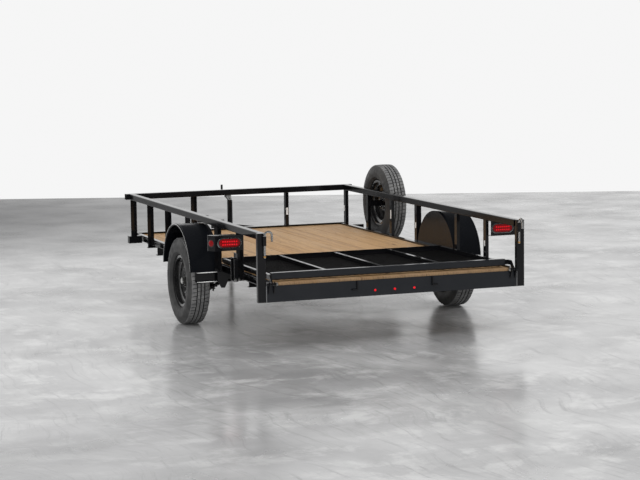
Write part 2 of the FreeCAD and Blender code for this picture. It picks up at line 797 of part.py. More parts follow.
def make_spare_carrier():
    """Arm that lies in the corner of the angle post, with the plate that the disc bolts to."""
    plate_thickness = 12.0
    face = spare_x - plate_thickness
    arm = block(frame_half_width + post_wall, face,
                spare_y - post_leg / 2, spare_y + post_leg / 2 - post_wall,
                spare_z - spare_arm / 2, spare_z + spare_arm / 2)
    plate = rod(hub_flange_radius, plate_thickness, V(face, spare_y, spare_z), V(1, 0, 0))
    pieces = [arm, plate]
    for i in range(bolt_count):
        angle = math.radians(90 + i * 360 / bolt_count)
        centre = V(face - 28.0, spare_y + bolt_circle_radius * math.cos(angle),
                   spare_z + bolt_circle_radius * math.sin(angle))
        pieces.append(rod(stud_radius, 64.0, centre, V(1, 0, 0)))
    return fuse(pieces)


def half_ring_face(radius, x):
    """The part of a disc about the fender's centre that lies above the outriggers."""
    start = math.asin((outrigger_top - fender_centre_z) / radius)
    a = V(x, fender_y + radius * math.cos(start), outrigger_top)
    b = V(x, fender_y - radius * math.cos(start), outrigger_top)
    top = V(x, fender_y, fender_centre_z + radius)
    return Part.Face(Part.Wire([Part.Arc(a, top, b).toShape(), Part.makeLine(b, a)]))


def make_fender():
    """Half-round fender: rolled crown, flat inner plate and a round bead on the outer edge."""
    skin = half_ring_face(fender_radius, frame_half_width).extrude(V(fender_width, 0, 0))
    room = half_ring_face(fender_radius - fender_sheet, frame_half_width + fender_sheet)
    skin = skin.cut(room.extrude(V(fender_width, 0, 0)))
    radius = fender_radius - fender_lip_radius * 0.6
    x = fender_outer_x - fender_lip_radius * 0.5
    ring = Part.makeTorus(radius, fender_lip_radius, V(x, fender_y, fender_centre_z), V(1, 0, 0))
    reach = fender_radius + 2 * fender_lip_radius
    keep = block(x - 30, x + 30, fender_y - reach, fender_y + reach, outrigger_top, fender_centre_z + reach)
    return skin.fuse(ring.common(keep)).removeSplitter()


def tail_box_plan(shift):
    """Rear face, corner, outer face and corner run of a lamp box, set outwards by shift."""
    y0 = rear_bay_post - post_leg - tail_box_sheet
    x_corner = tail_box_corner_x + shift
    return y0, x_corner, x_corner + tail_box_chamfer, tail_box_chamfer * math.tan(math.radians(60.0))


def make_tail_box(shift):
    """Folded sheet housing, open to the front and to the post, with holes for two lamps."""
    y0, x_corner, x_out, run = tail_box_plan(shift)
    t = tail_box_sheet
    z0, z1 = tail_box_bottom, tail_box_top
    y1 = y0 + run + tail_box_skirt
    x_in = post_outer if shift > 0 else frame_half_width
    plan = [V(x_in, y0, z0), V(x_corner, y0, z0), V(x_out, y0 + run, z0), V(x_out, y1, z0), V(x_in, y1, z0)]
    body = prism(plan, V(0, 0, z1 - z0))
    room = [V(x_in - 1, y0 + t, z0 + t), V(x_corner - t * 0.6, y0 + t, z0 + t),
            V(x_out - t, y0 + run + t * 0.4, z0 + t), V(x_out - t, y1 + 1, z0 + t),
            V(x_in - 1, y1 + 1, z0 + t)]
    body = body.cut(prism(room, V(0, 0, z1 - z0 - 2 * t)))
    if x_in < post_outer:
        body = body.cut(block(x_in - 1, post_outer, y0 + t, y1 + 1, z0 - 1, z1 + 1))
    mouth = oval(shift, tail_lamp_half_length - tail_lamp_plug + tail_lamp_play, tail_lamp_half_height - 5,
                 y0 - 5, 12.0)
    body = body.cut(mouth)
    body = body.cut(side_lamp_rod(shift, side_lamp_radius - 4, -10, 20))
    return body.removeSplitter()


def oval(shift, half_length, half_height, y, depth):
    """A stadium-shaped solid at the tail lamp's place."""
    r = half_height
    a = half_length - r
    x = tail_lamp_x + shift
    z = tail_lamp_z
    mid = block(x - a, x + a, y, y + depth, z - r, z + r)
    left = rod(r, depth, V(x - a, y, z), V(0, 1, 0))
    right = rod(r, depth, V(x + a, y, z), V(0, 1, 0))
    return fuse([mid, left, right])


def side_lamp_rod(shift, radius, from_face, length):
    """A round bar square to the angled end of the lamp box."""
    y0, x_corner, x_out, run = tail_box_plan(shift)
    normal = V(math.sin(math.radians(60)), -math.cos(math.radians(60)), 0)
    middle = V((x_corner + x_out) / 2, y0 + run / 2, tail_lamp_z)
    return rod(radius, length, middle + normal * (-from_face - length), normal)


def make_tail_lamp(shift):
    y0 = tail_box_plan(shift)[0]
    face = y0 - tail_lamp_bezel
    bezel = oval(shift, tail_lamp_half_length, tail_lamp_half_height, face, tail_lamp_bezel)
    lens = oval(shift, tail_lamp_half_length - tail_lamp_rim, tail_lamp_half_height - 7,
                face - lens_proud, lens_proud)
    plug = oval(shift, tail_lamp_half_length - tail_lamp_plug, tail_lamp_half_height - 5 - tail_lamp_play,
                y0, tail_lamp_depth)
    return fuse([bezel, lens, plug])


def make_side_lamp(shift):
    bezel = side_lamp_rod(shift, side_lamp_radius, -3.0, 3.0)
    lens = side_lamp_rod(shift, side_lamp_radius - 6.0, -8.0, 5.0)
    plug = side_lamp_rod(shift, side_lamp_radius - 4.3, 0.0, 14.0)
    return fuse([bezel, lens, plug])


def each_side(make_piece):
    """The right piece set outwards, and the left piece flush with its post."""
    return Part.makeCompound([make_piece(right_box_shift), mirror_x(make_piece(0.0))])


def make_front_box():
    """Lamp box on the side rail at the front corner, open to the front."""
    t = tail_box_sheet
    x0, x1 = frame_half_width, front_box_outer
    y0, y1 = front_box_y, front_box_y + front_box_depth
    z0, z1 = front_box_bottom, front_box_top
    body = block(x0, x1, y0, y1, z0, z1)
    hollow = block(x0 - 1, x1 - t, y0 + t, y1 - t, z0 + t, z1 - t)
    mouth = rod(front_lamp_radius - 4, 20, V((x0 + x1) / 2 + 20, y1 - 10, (z0 + z1) / 2), V(0, 1, 0))
    return body.cut(hollow).cut(mouth)


def make_front_lamp():
    x = (frame_half_width + front_box_outer) / 2 + 20
    z = (front_box_bottom + front_box_top) / 2
    y = front_box_y + front_box_depth
    bezel = rod(front_lamp_radius, 3.0, V(x, y, z), V(0, 1, 0))
    lens = Part.makeCone(front_lamp_radius - 3, front_lamp_radius - 8, 8.0, V(x, y + 3, z), V(0, 1, 0))
    plug = rod(front_lamp_radius - 4.3, 10.0, V(x, y - 10, z), V(0, 1, 0))
    return fuse([bezel, lens, plug])


def marker_stations():
    return [-rear_marker_spacing, 0.0, rear_marker_spacing]


def make_rear_markers():
    lamps = []
    for x in marker_stations():
        base = rod(rear_marker_radius, rear_marker_proud, V(x, -rear_marker_proud, rear_marker_z), V(0, 1, 0))
        stem = rod(rear_marker_radius - 3.3, 12.0, V(x, 0, rear_marker_z), V(0, 1, 0))
        lamps.append(fuse([base, stem]))
    return Part.makeCompound(lamps)


def make_hook():
    """Bent plate welded to the rear channel: an upright with a shelf at its foot."""
    z1 = rear_channel_top - hook_plate_drop
    z0 = z1 - hook_plate_height
    upright = block(hook_x - hook_plate_width / 2, hook_x - hook_plate_width / 2 + hook_plate_thickness,
                    -16.0, 0, z0 + 10, z1)
    shelf = block(hook_x - hook_plate_width / 2, hook_x + hook_plate_width / 2, -22.0, 0, z0, z0 + 10)
    return fuse([upright, shelf])


def make_post_bracket():
    """Stepped pocket of folded plate on the outside of the last side post."""
    t = bracket_plate
    x0 = post_outer
    x1 = x0 + bracket_reach
    y0 = rear_bay_post - post_leg
    y1 = y0 + bracket_length
    y2 = y1 + bracket_foot
    low = side_rail_bottom - bracket_drop
    step = bracket_top - bracket_step
    tall = block(x0, x0 + t, y0, y1, low, bracket_top)
    short = block(x0, x0 + t, y1, y2, low, step)
    rear_ear = block(x0 + t, x1, y0, y0 + t, low, step)
    front_ear = block(x0 + t, x1, y1 - t, y1, low, step)
    foot = block(x0 + t, x1, y0, y1, low, low + t)
    return fuse([tall, short, rear_ear, front_ear, foot])


def gate_place(shape):
    """Tip the flat gate about its hinge so that its free end lies lower than its hinge end."""
    placed = shape.copy()
    placed.rotate(V(0, gate_rear_y, deck_top + gate_rise), V(1, 0, 0), -gate_tilt_deg)
    return placed


def make_gate_bars():
    """Square tube at the hinge end and a lower angle bar at the free end."""
    z0 = deck_top + gate_rise + gate_mesh_thickness
    w = gate_half_width
    rear = square_tube(-w, w, gate_rear_y, gate_rear_y + gate_bar, z0, z0 + gate_bar,
                       V(1, 0, 0), gate_bar_wall)
    end = gate_rear_y + gate_length
    upright = block(-w, w, end - gate_bar_wall, end, z0, z0 + gate_end_bar)
    foot = block(-w, w, end - gate_end_bar, end, z0, z0 + gate_bar_wall)
    return gate_place(rear), gate_place(fuse([upright, foot]))


def make_gate_ribs():
    z0 = deck_top + gate_rise + gate_mesh_thickness
    y0 = gate_rear_y + gate_bar
    y1 = gate_rear_y + gate_length - gate_bar_wall
    ribs = []
    span = 2 * gate_half_width - gate_rib_width
    for i in range(gate_bays + 1):
        x = -gate_half_width + i * span / gate_bays
        rib = block(x, x + gate_rib_width, y0, y1, z0, z0 + gate_end_bar - 3)
        notch = block(x - 1, x + gate_rib_width + 1, y1 + gate_bar_wall - gate_end_bar, y1 + 1, z0 - 1,
                      z0 + gate_bar_wall)
        ribs.append(gate_place(rib.cut(notch)))
    return Part.makeCompound(ribs)


def make_gate_mesh():
    z0 = deck_top + gate_rise
    sheet = block(-gate_half_width, gate_half_width, gate_rear_y + 10, gate_rear_y + gate_length - 4, z0,
                  z0 + gate_mesh_thickness)
    return gate_place(sheet)


def make_gate_arms():
    """Bent plates from the ends of the rear bar back and down to the hinge pins."""
    t = hinge_arm_thickness
    r = hinge_arm_half_depth
    x0 = hinge_arm_x - t / 2
    low = deck_top + gate_rise + gate_mesh_thickness + 8.0
    high = low + gate_bar - 14.0
    y1 = gate_rear_y + 16.0
    side = r * math.sqrt(0.5)
    plate = prism([
        V(x0, hinge_y + side, hinge_z - side), V(x0, hinge_y + side + low - hinge_z + side, low),
        V(x0, y1, low), V(x0, y1, high),
        V(x0, hinge_y - side + high - hinge_z - side, high), V(x0, hinge_y - side, hinge_z + side),
    ], V(t, 0, 0))
    eye = rod(r, t, V(x0, hinge_y, hinge_z), V(1, 0, 0))
    tab = block(gate_half_width, x0, gate_rear_y + 1, y1, low, high)
    arm = fuse([plate, eye, tab])
    bore = rod(hinge_pin_radius + 0.3, t + 2, V(x0 - 1, hinge_y, hinge_z), V(1, 0, 0))
    return both_sides(arm.cut(bore))


def make_hinge_brackets():
    """Ears on the rear channel on both sides of each arm, with the pin through to the post."""
    gap = hinge_arm_thickness / 2 + hinge_ear_gap
    bottom = rear_channel_top - hinge_ear_drop
    r = hinge_ear_radius
    pieces = []
    for sign in (-1, 1):
        a = hinge_arm_x + sign * gap
        b = a + sign * hinge_ear_thickness
        x0, x1 = min(a, b), max(a, b)
        ear = prism([V(x0, 0, bottom), V(x0, 0, rear_channel_top), V(x0, hinge_y + 8, hinge_z + r),
                     V(x0, hinge_y - 8, hinge_z + r), V(x0, hinge_y - r, hinge_z + 6),
                     V(x0, hinge_y - r, hinge_z - 8),
                     V(x0, -6, bottom)], V(x1 - x0, 0, 0))
        pieces.append(ear)
    start = hinge_arm_x - gap - hinge_ear_thickness - 8.0
    pieces.append(rod(hinge_pin_radius, rear_post_inner - start, V(start, hinge_y, hinge_z), V(1, 0, 0)))
    return both_sides(fuse(pieces))


def make_latch_sleeve():
    """Short tube with the strap that holds it off the post's rear face."""
    low = latch_sleeve_top - latch_sleeve_length
    tube = rod(latch_sleeve_radius, latch_sleeve_length, V(latch_x, latch_y, low), V(0, 0, 1))
    strap = block(latch_x - 8, latch_x + 8, latch_y, 0, low, latch_sleeve_top)
    bore = rod(latch_pin_radius + 0.3, latch_sleeve_length, V(latch_x, latch_y, low), V(0, 0, 1))
    return fuse([tube, strap]).cut(bore)


def make_latch_pin(direction):
    """Pin with a collar on its sleeve and a hooked top that points along direction."""
    r = latch_pin_radius
    top = latch_sleeve_top + latch_collar_thickness
    axis = V(latch_x, latch_y, 0)
    far = axis + direction * (2 * latch_hook_radius)
    shaft = rod(r, top - latch_pin_bottom, axis + V(0, 0, latch_pin_bottom), V(0, 0, 1))
    collar = rod(latch_sleeve_radius, latch_collar_thickness, axis + V(0, 0, latch_sleeve_top), V(0, 0, 1))
    start = axis + V(0, 0, top)
    crown = axis + direction * latch_hook_radius + V(0, 0, top + latch_hook_radius)
    finish = far + V(0, 0, top)
    spine = Part.Wire([Part.Arc(start, crown, finish).toShape()])
    section = Part.Wire([Part.makeCircle(r, start, V(0, 0, 1))])
    hook = spine.makePipeShell([section], True, False)
    tail = rod(r, latch_hook_drop, finish - V(0, 0, latch_hook_drop), V(0, 0, 1))
    return fuse([shaft, collar, hook, tail])


def build():
    os.makedirs("parts", exist_ok=True)
    save("side_rails", both_sides(make_side_rails()))
    save("front_member", make_front_member())
    save("rear_channel", make_rear_channel())
    save("crossmembers", make_crossmembers())
    save("fender_outriggers", make_outriggers())
    save("outrigger_gussets", make_gussets())
    save("deck_boards", make_deck())
    save("top_rail_left", mirror_x(make_side_top_rail()))
    save("top_rail_right", make_side_top_rail())
    save("top_rail_front", make_front_top_rail())
    save("side_posts_left", mirror_x(make_side_posts()))
    save("side_posts_right", make_side_posts())
    save("front_posts", make_front_posts())
    save("rear_posts", both_sides(make_rear_post()))
    save("tongue_rails", both_sides(make_tongue_rail()))
    save("coupler", make_coupler())
    save("coupler_latch", make_coupler_latch())
    save("jack_bracket", make_jack_bracket())
    save("jack_tube", make_jack_tube())
    save("jack_head", make_jack_head())
    save("jack_crank", make_jack_crank())
    save("jack_leg", make_jack_leg())
    save("axle", make_axle())
    save("leaf_springs", both_sides(make_spring()))
    save("spring_hangers", both_sides(make_spring_hangers()))
    clamp, seat = make_axle_clamps(make_spring())
    save("axle_clamps", both_sides(clamp))
    save("spring_seats", both_sides(seat))
    tyre = at_right_wheel(make_tyre())
    rim = at_right_wheel(make_rim())
    hub = at_right_wheel(make_hub())
    cap = at_right_wheel(make_grease_cap())
    for side, place in (("right", lambda s: s), ("left", mirror_x)):
        save("tyre_" + side, place(tyre))
        save("rim_" + side, place(rim))
        save("hub_" + side, place(hub))
        save("grease_cap_" + side, place(cap))
    shift = V(spare_x - tyre_centre_x, spare_y - axle_y, spare_z - wheel_radius)
    for node, shape in (("spare_tyre", tyre), ("spare_rim", rim)):
        moved = shape.copy()
        moved.translate(shift)
        save(node, moved)
    save("spare_carrier", make_spare_carrier())
    save("fenders", both_sides(make_fender()))
    save("tail_lamp_boxes", each_side(make_tail_box))
    save("tail_lamps", each_side(make_tail_lamp))
    save("side_marker_lamps", each_side(make_side_lamp))
    save("front_lamp_boxes", both_sides(make_front_box()))
    save("front_marker_lamps", both_sides(make_front_lamp()))
    save("rear_marker_lamps", make_rear_markers())
    save("rear_hooks", Part.makeCompound([make_hook(), mirror_x(make_hook())]))
    save("post_brackets", mirror_x(make_post_bracket()))
    rear_bar, end_bar = make_gate_bars()
    save("gate_rear_bar", rear_bar)
    save("gate_end_bar", end_bar)
    save("gate_ribs", make_gate_ribs())
    save("gate_mesh", make_gate_mesh())
    save("gate_arms", make_gate_arms())
    save("hinge_brackets", make_hinge_brackets())
    save("latch_sleeves", both_sides(make_latch_sleeve()))
    left_pin = mirror_x(make_latch_pin(V(-1, 0, 0)))
    save("latch_pins", Part.makeCompound([left_pin, make_latch_pin(V(0, -1, 0))]))


build()
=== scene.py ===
import json
import logging
import math
from dataclasses import dataclass, replace
from enum import Enum
from typing import Iterable, Protocol, Sequence

import bmesh
import bpy
from mathutils import Matrix, Vector


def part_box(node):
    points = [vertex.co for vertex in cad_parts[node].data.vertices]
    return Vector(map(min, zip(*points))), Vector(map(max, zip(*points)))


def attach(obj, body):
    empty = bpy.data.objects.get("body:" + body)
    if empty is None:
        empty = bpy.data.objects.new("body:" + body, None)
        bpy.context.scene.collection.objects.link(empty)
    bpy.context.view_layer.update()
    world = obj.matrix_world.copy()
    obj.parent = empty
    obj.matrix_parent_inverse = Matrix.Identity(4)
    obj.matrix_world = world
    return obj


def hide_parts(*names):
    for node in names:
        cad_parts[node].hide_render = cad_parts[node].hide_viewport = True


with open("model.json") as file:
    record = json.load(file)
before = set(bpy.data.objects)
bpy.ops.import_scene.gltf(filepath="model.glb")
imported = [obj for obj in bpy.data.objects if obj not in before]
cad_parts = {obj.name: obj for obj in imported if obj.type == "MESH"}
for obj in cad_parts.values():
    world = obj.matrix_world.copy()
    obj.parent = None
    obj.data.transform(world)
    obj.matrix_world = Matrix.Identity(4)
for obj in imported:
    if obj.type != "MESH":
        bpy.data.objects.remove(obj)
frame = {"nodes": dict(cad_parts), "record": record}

"""Looks of a single-axle utility trailer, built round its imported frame.

Lengths are in metres in the frame's own axes: +X to the trailer's right,
+Y forward, +Z up, with the floor at zero. Bed sizes are in millimetres,
with y counted forward from the bed's rear face. A ramp holds the input's
low and high and the result at each.
"""

logging.basicConfig(level=logging.INFO, format="%(message)s")
LOG = logging.getLogger("trailer")

Colour = tuple[float, float, float]
Socket = bpy.types.NodeSocket
Vert = bmesh.types.BMVert
Pairs = tuple[tuple[float, float], ...]
Ramp = tuple[float, float, float, float]
MM = 0.001
BED_ORIGIN_Y = -2.4171
BEAD_SIDES = 8
NEAR = 1e-5


def bed(x: float, y: float, z: float) -> Vector:
    """Turn bed coordinates into the frame's.

    Args:
        x: Millimetres to the right of the centre line.
        y: Millimetres ahead of the bed's rear face.
        z: Millimetres above the floor.

    Returns:
        The point in metres.
    """
    return Vector((x * MM, y * MM + BED_ORIGIN_Y, z * MM))


def orient(direction: Vector, centre: Vector) -> Matrix:
    """Matrix that carries the Z axis to a direction at a point.

    Args:
        direction: Where local Z goes.
        centre: Where the local origin goes.

    Returns:
        The 4 by 4 matrix.
    """
    turn = Vector((0, 0, 1)).rotation_difference(direction.normalized())
    return Matrix.Translation(centre) @ turn.to_matrix().to_4x4()


class Finish(Enum):
    """Surface finishes used on the trailer and its surroundings."""

    FRAME = "gloss_black_paint"
    FENDER = "fender_black_paint_painted_light"
    RAIL = "rail_black_paint_painted_shade"
    REAR = "rear_black_paint_painted_light"
    MESH = "satin_black_mesh"
    WHEEL = "wheel_black_paint"
    TIMBER = "pine_boards"
    RUBBER = "tyre_rubber"
    TREAD = "tread_dust_and_painted_light"
    GROOVE = "groove_painted_shade"
    ZINC = "zinc_plate"
    DULL = "dull_zinc"
    STEEL = "bright_steel"
    BRASS = "brass_tip"
    WELD = "weld_bead"
    PLATE = "white_film"
    RED = "red_lens"
    RED_DEEP = "red_painted_glow"
    AMBER = "amber_lens"
    BEZEL = "gloss_bezel"
    GROMMET = "black_grommet"
    GRIP = "grip_rubber"
    FLOOR = "polished_concrete"


class Graph:
    """Adds nodes to the tree of one material or world and wires them."""

    def __init__(
        self, owner: bpy.types.Material | bpy.types.World, output: str = "ShaderNodeOutputMaterial",
    ) -> None:
        """Clear the owner's tree and give it an output.

        Args:
            owner: Material or world whose tree is built.
            output: Type of the output node.
        """
        owner.use_nodes = True
        self.owner = owner
        self.tree = owner.node_tree
        self.tree.nodes.clear()
        self.out = self.tree.nodes.new(output)

    def add(self, kind: str, **values: object) -> bpy.types.Node:
        """Add a node and set its attributes or its inputs.

        Args:
            kind: Blender's node type.
            **values: Attribute names, or input names with spaces written as underscores.

        Returns:
            The new node.
        """
        node = self.tree.nodes.new(kind)
        for key, value in values.items():
            if hasattr(node, key):
                setattr(node, key, value)
            else:
                node.inputs[key.replace("_", " ")].default_value = value
        return node

    def link(self, source: Socket, target: Socket) -> None:
        """Join an output socket to an input socket."""
        self.tree.links.new(source, target)

    def coordinates(self) -> Socket:
        """Object coordinates of the piece."""
        return self.add("ShaderNodeTexCoord").outputs["Object"]

    def stretch(self, vector: Socket, scale: Sequence[float], turn: float = 0.0) -> Socket:
        """Scale a vector along each axis after a turn about Z.

        Args:
            vector: Coordinates to change.
            scale: Factor along each axis.
            turn: Rotation in radians.

        Returns:
            The vector socket.
        """
        node = self.add("ShaderNodeMapping", Scale=scale, Rotation=(0.0, 0.0, turn))
        self.link(vector, node.inputs["Vector"])
        return node.outputs["Vector"]

    def offset(self, amount: Socket, factors: Sequence[float], vector: Socket) -> Socket:
        """Shift a vector by another one times fixed factors.

        Args:
            amount: Vector of the shift.
            factors: Weight of the shift along each axis.
            vector: Vector to shift.

        Returns:
            The shifted vector's socket.
        """
        node = self.add("ShaderNodeVectorMath", operation="MULTIPLY_ADD")
        node.inputs[1].default_value = factors
        self.link(amount, node.inputs[0])
        self.link(vector, node.inputs[2])
        return node.outputs["Vector"]

    def distance(self, vector: Socket, point: Sequence[float]) -> Socket:
        """Distance of a vector from a fixed point.

        Args:
            vector: Coordinates to measure.
            point: The fixed point.

        Returns:
            The distance socket.
        """
        node = self.add("ShaderNodeVectorMath", operation="DISTANCE")
        node.inputs[1].default_value = point
        self.link(vector, node.inputs[0])
        return node.outputs["Value"]

    def noise(self, vector: Socket, scale: float, detail: float = 4.0, rough: float = 0.55) -> Socket:
        """Noise value over a vector.

        Args:
            vector: Coordinates to read.
            scale: Cells per unit.
            detail: Octaves.
            rough: Weight of the finer octaves.

        Returns:
            The noise value socket.
        """
        node = self.add("ShaderNodeTexNoise", Scale=scale, Detail=detail, Roughness=rough)
        self.link(vector, node.inputs["Vector"])
        return node.outputs["Fac"]

    def cells(self, vector: Socket, scale: float) -> Socket:
        """Distance from the nearest of a scatter of points.

        Args:
            vector: Coordinates to read.
            scale: Points per unit.

        Returns:
            The distance socket.
        """
        node = self.add("ShaderNodeTexVoronoi", Scale=scale)
        self.link(vector, node.inputs["Vector"])
        return node.outputs["Distance"]

    def remap(
        self, value: Socket, low: float, high: float, out_low: float, out_high: float, smooth: bool = False,
    ) -> Socket:
        """Clamp and rescale a value.

        Args:
            value: Socket to read.
            low: Input that gives out_low.
            high: Input that gives out_high.
            out_low: Result at low.
            out_high: Result at high.
            smooth: Whether the ends ease in and out.

        Returns:
            The result socket.
        """
        node = self.add("ShaderNodeMapRange", From_Min=low, From_Max=high, To_Min=out_low, To_Max=out_high)
        if smooth:
            node.interpolation_type = "SMOOTHSTEP"
        self.link(value, node.inputs["Value"])
        return node.outputs["Result"]

    def combine(self, operation: str, first: Socket, second: Socket) -> Socket:
        """Join two values by one of the Math node's operations.

        Args:
            operation: Name of the operation.
            first: First value.
            second: Second value.

        Returns:
            The result socket.
        """
        node = self.add("ShaderNodeMath", operation=operation)
        self.link(first, node.inputs[0])
        self.link(second, node.inputs[1])
        return node.outputs[0]

    def mix(self, factor: Socket, first: Colour | Socket, second: Colour | Socket) -> Socket:
        """Mix two colours.

        Args:
            factor: Share of the second colour.
            first: Colour, or a colour socket.
            second: Colour, or a colour socket.

        Returns:
            The mixed colour socket.
        """
        node = self.add("ShaderNodeMix", data_type="RGBA")
        self.link(factor, node.inputs["Factor"])
        for name, value in (("A", first), ("B", second)):
            slot = next(s for s in node.inputs if s.name == name and s.type == "RGBA")
            if isinstance(value, Socket):
                self.link(value, slot)
            else:
                slot.default_value = (*value, 1.0)
        return next(s for s in node.outputs if s.type == "RGBA")

    def bump(self, height: Socket, distance: float, strength: float = 1.0) -> Socket:
        """Normals from a height.

        Args:
            height: Height socket, 0 to 1.
            distance: Height of 1 in metres.
            strength: Weight of the effect.

        Returns:
            The normal socket.
        """
        node = self.add("ShaderNodeBump", Strength=strength, Distance=distance)
        self.link(height, node.inputs["Height"])
        return node.outputs["Normal"]

    def shader(self, colour: Socket, roughness: Socket, normal: Socket, **values: float) -> bpy.types.Node:
        """Add the main shader.

        Args:
            colour: Base colour socket.
            roughness: Roughness socket.
            normal: Normal socket.
            **values: Other inputs, with spaces written as underscores.

        Returns:
            The shader node.
        """
        node = self.add("ShaderNodeBsdfPrincipled", **values)
        for name, socket in (("Base Color", colour), ("Roughness", roughness), ("Normal", normal)):
            self.link(socket, node.inputs[name])
        return node

    def blend(self, factor: Socket, first: bpy.types.Node, second: bpy.types.Node) -> bpy.types.Node:
        """Mix two shaders; factor is the share of the second.

        Args:
            factor: Share of the second shader.
            first: First shader's node.
            second: Second shader's node.

        Returns:
            The mixing node.
        """
        node = self.add("ShaderNodeMixShader")
        for slot, socket in enumerate((factor, first.outputs[0], second.outputs[0])):
            self.link(socket, node.inputs[slot])
        return node

    def close(self, surface: bpy.types.Node) -> bpy.types.Material | bpy.types.World:
        """Send a shader to the output and hand out the owner."""
        self.link(surface.outputs[0], self.out.inputs["Surface"])
        return self.owner


class Spec(Protocol):
    """What every finish can do."""

    def make(self, name: str) -> bpy.types.Material:
        """Build the material under a name."""


@dataclass(frozen=True)
class PaintSpec:
    """Numbers of a painted or plated surface.

    Attributes:
        colour: Base colour in linear light.
        dust: Colour of the thin dust in the hollows of the noise.
        dust_amount: Share of dust at its thickest.
        rough_low: Roughness of the cleanest places.
        rough_high: Roughness of the dullest places.
        metallic: Metallic weight.
        coat: Clear coat weight.
        coat_rough: Clear coat roughness.
        scale: Noise cells per metre.
        bump: Bump height in metres.
        bump_scale: Bump cells per metre.
        ior: Index of refraction, which sets how much the surface mirrors.
        wear_ratio: How much finer the noise of the roughness is.
        dust_from: Noise at which the dust starts and at which it is thickest.
        wear_from: Noise at the cleanest and at the dullest places.
    """

    colour: Colour
    dust: Colour
    dust_amount: float
    rough_low: float
    rough_high: float
    metallic: float = 0.0
    coat: float = 0.0
    coat_rough: float = 0.05
    scale: float = 14.0
    bump: float = 0.00004
    bump_scale: float = 420.0
    ior: float = 1.45
    wear_ratio: float = 3.1
    dust_from: tuple[float, float] = (0.45, 0.75)
    wear_from: tuple[float, float] = (0.3, 0.7)

    def make(self, name: str) -> bpy.types.Material:
        """Build the material.

        Args:
            name: Material name.

        Returns:
            The material.
        """
        g = Graph(bpy.data.materials.new(name))
        where = g.coordinates()
        dust = g.remap(g.noise(where, self.scale, 6.0), *self.dust_from, 0.0, self.dust_amount)
        wear = g.noise(where, self.scale * self.wear_ratio)
        return g.close(g.shader(
            g.mix(dust, self.colour, self.dust),
            g.remap(wear, *self.wear_from, self.rough_low, self.rough_high),
            g.bump(g.noise(where, self.bump_scale, 2.0), self.bump),
            Metallic=self.metallic, IOR=self.ior, Coat_Weight=self.coat, Coat_Roughness=self.coat_rough))


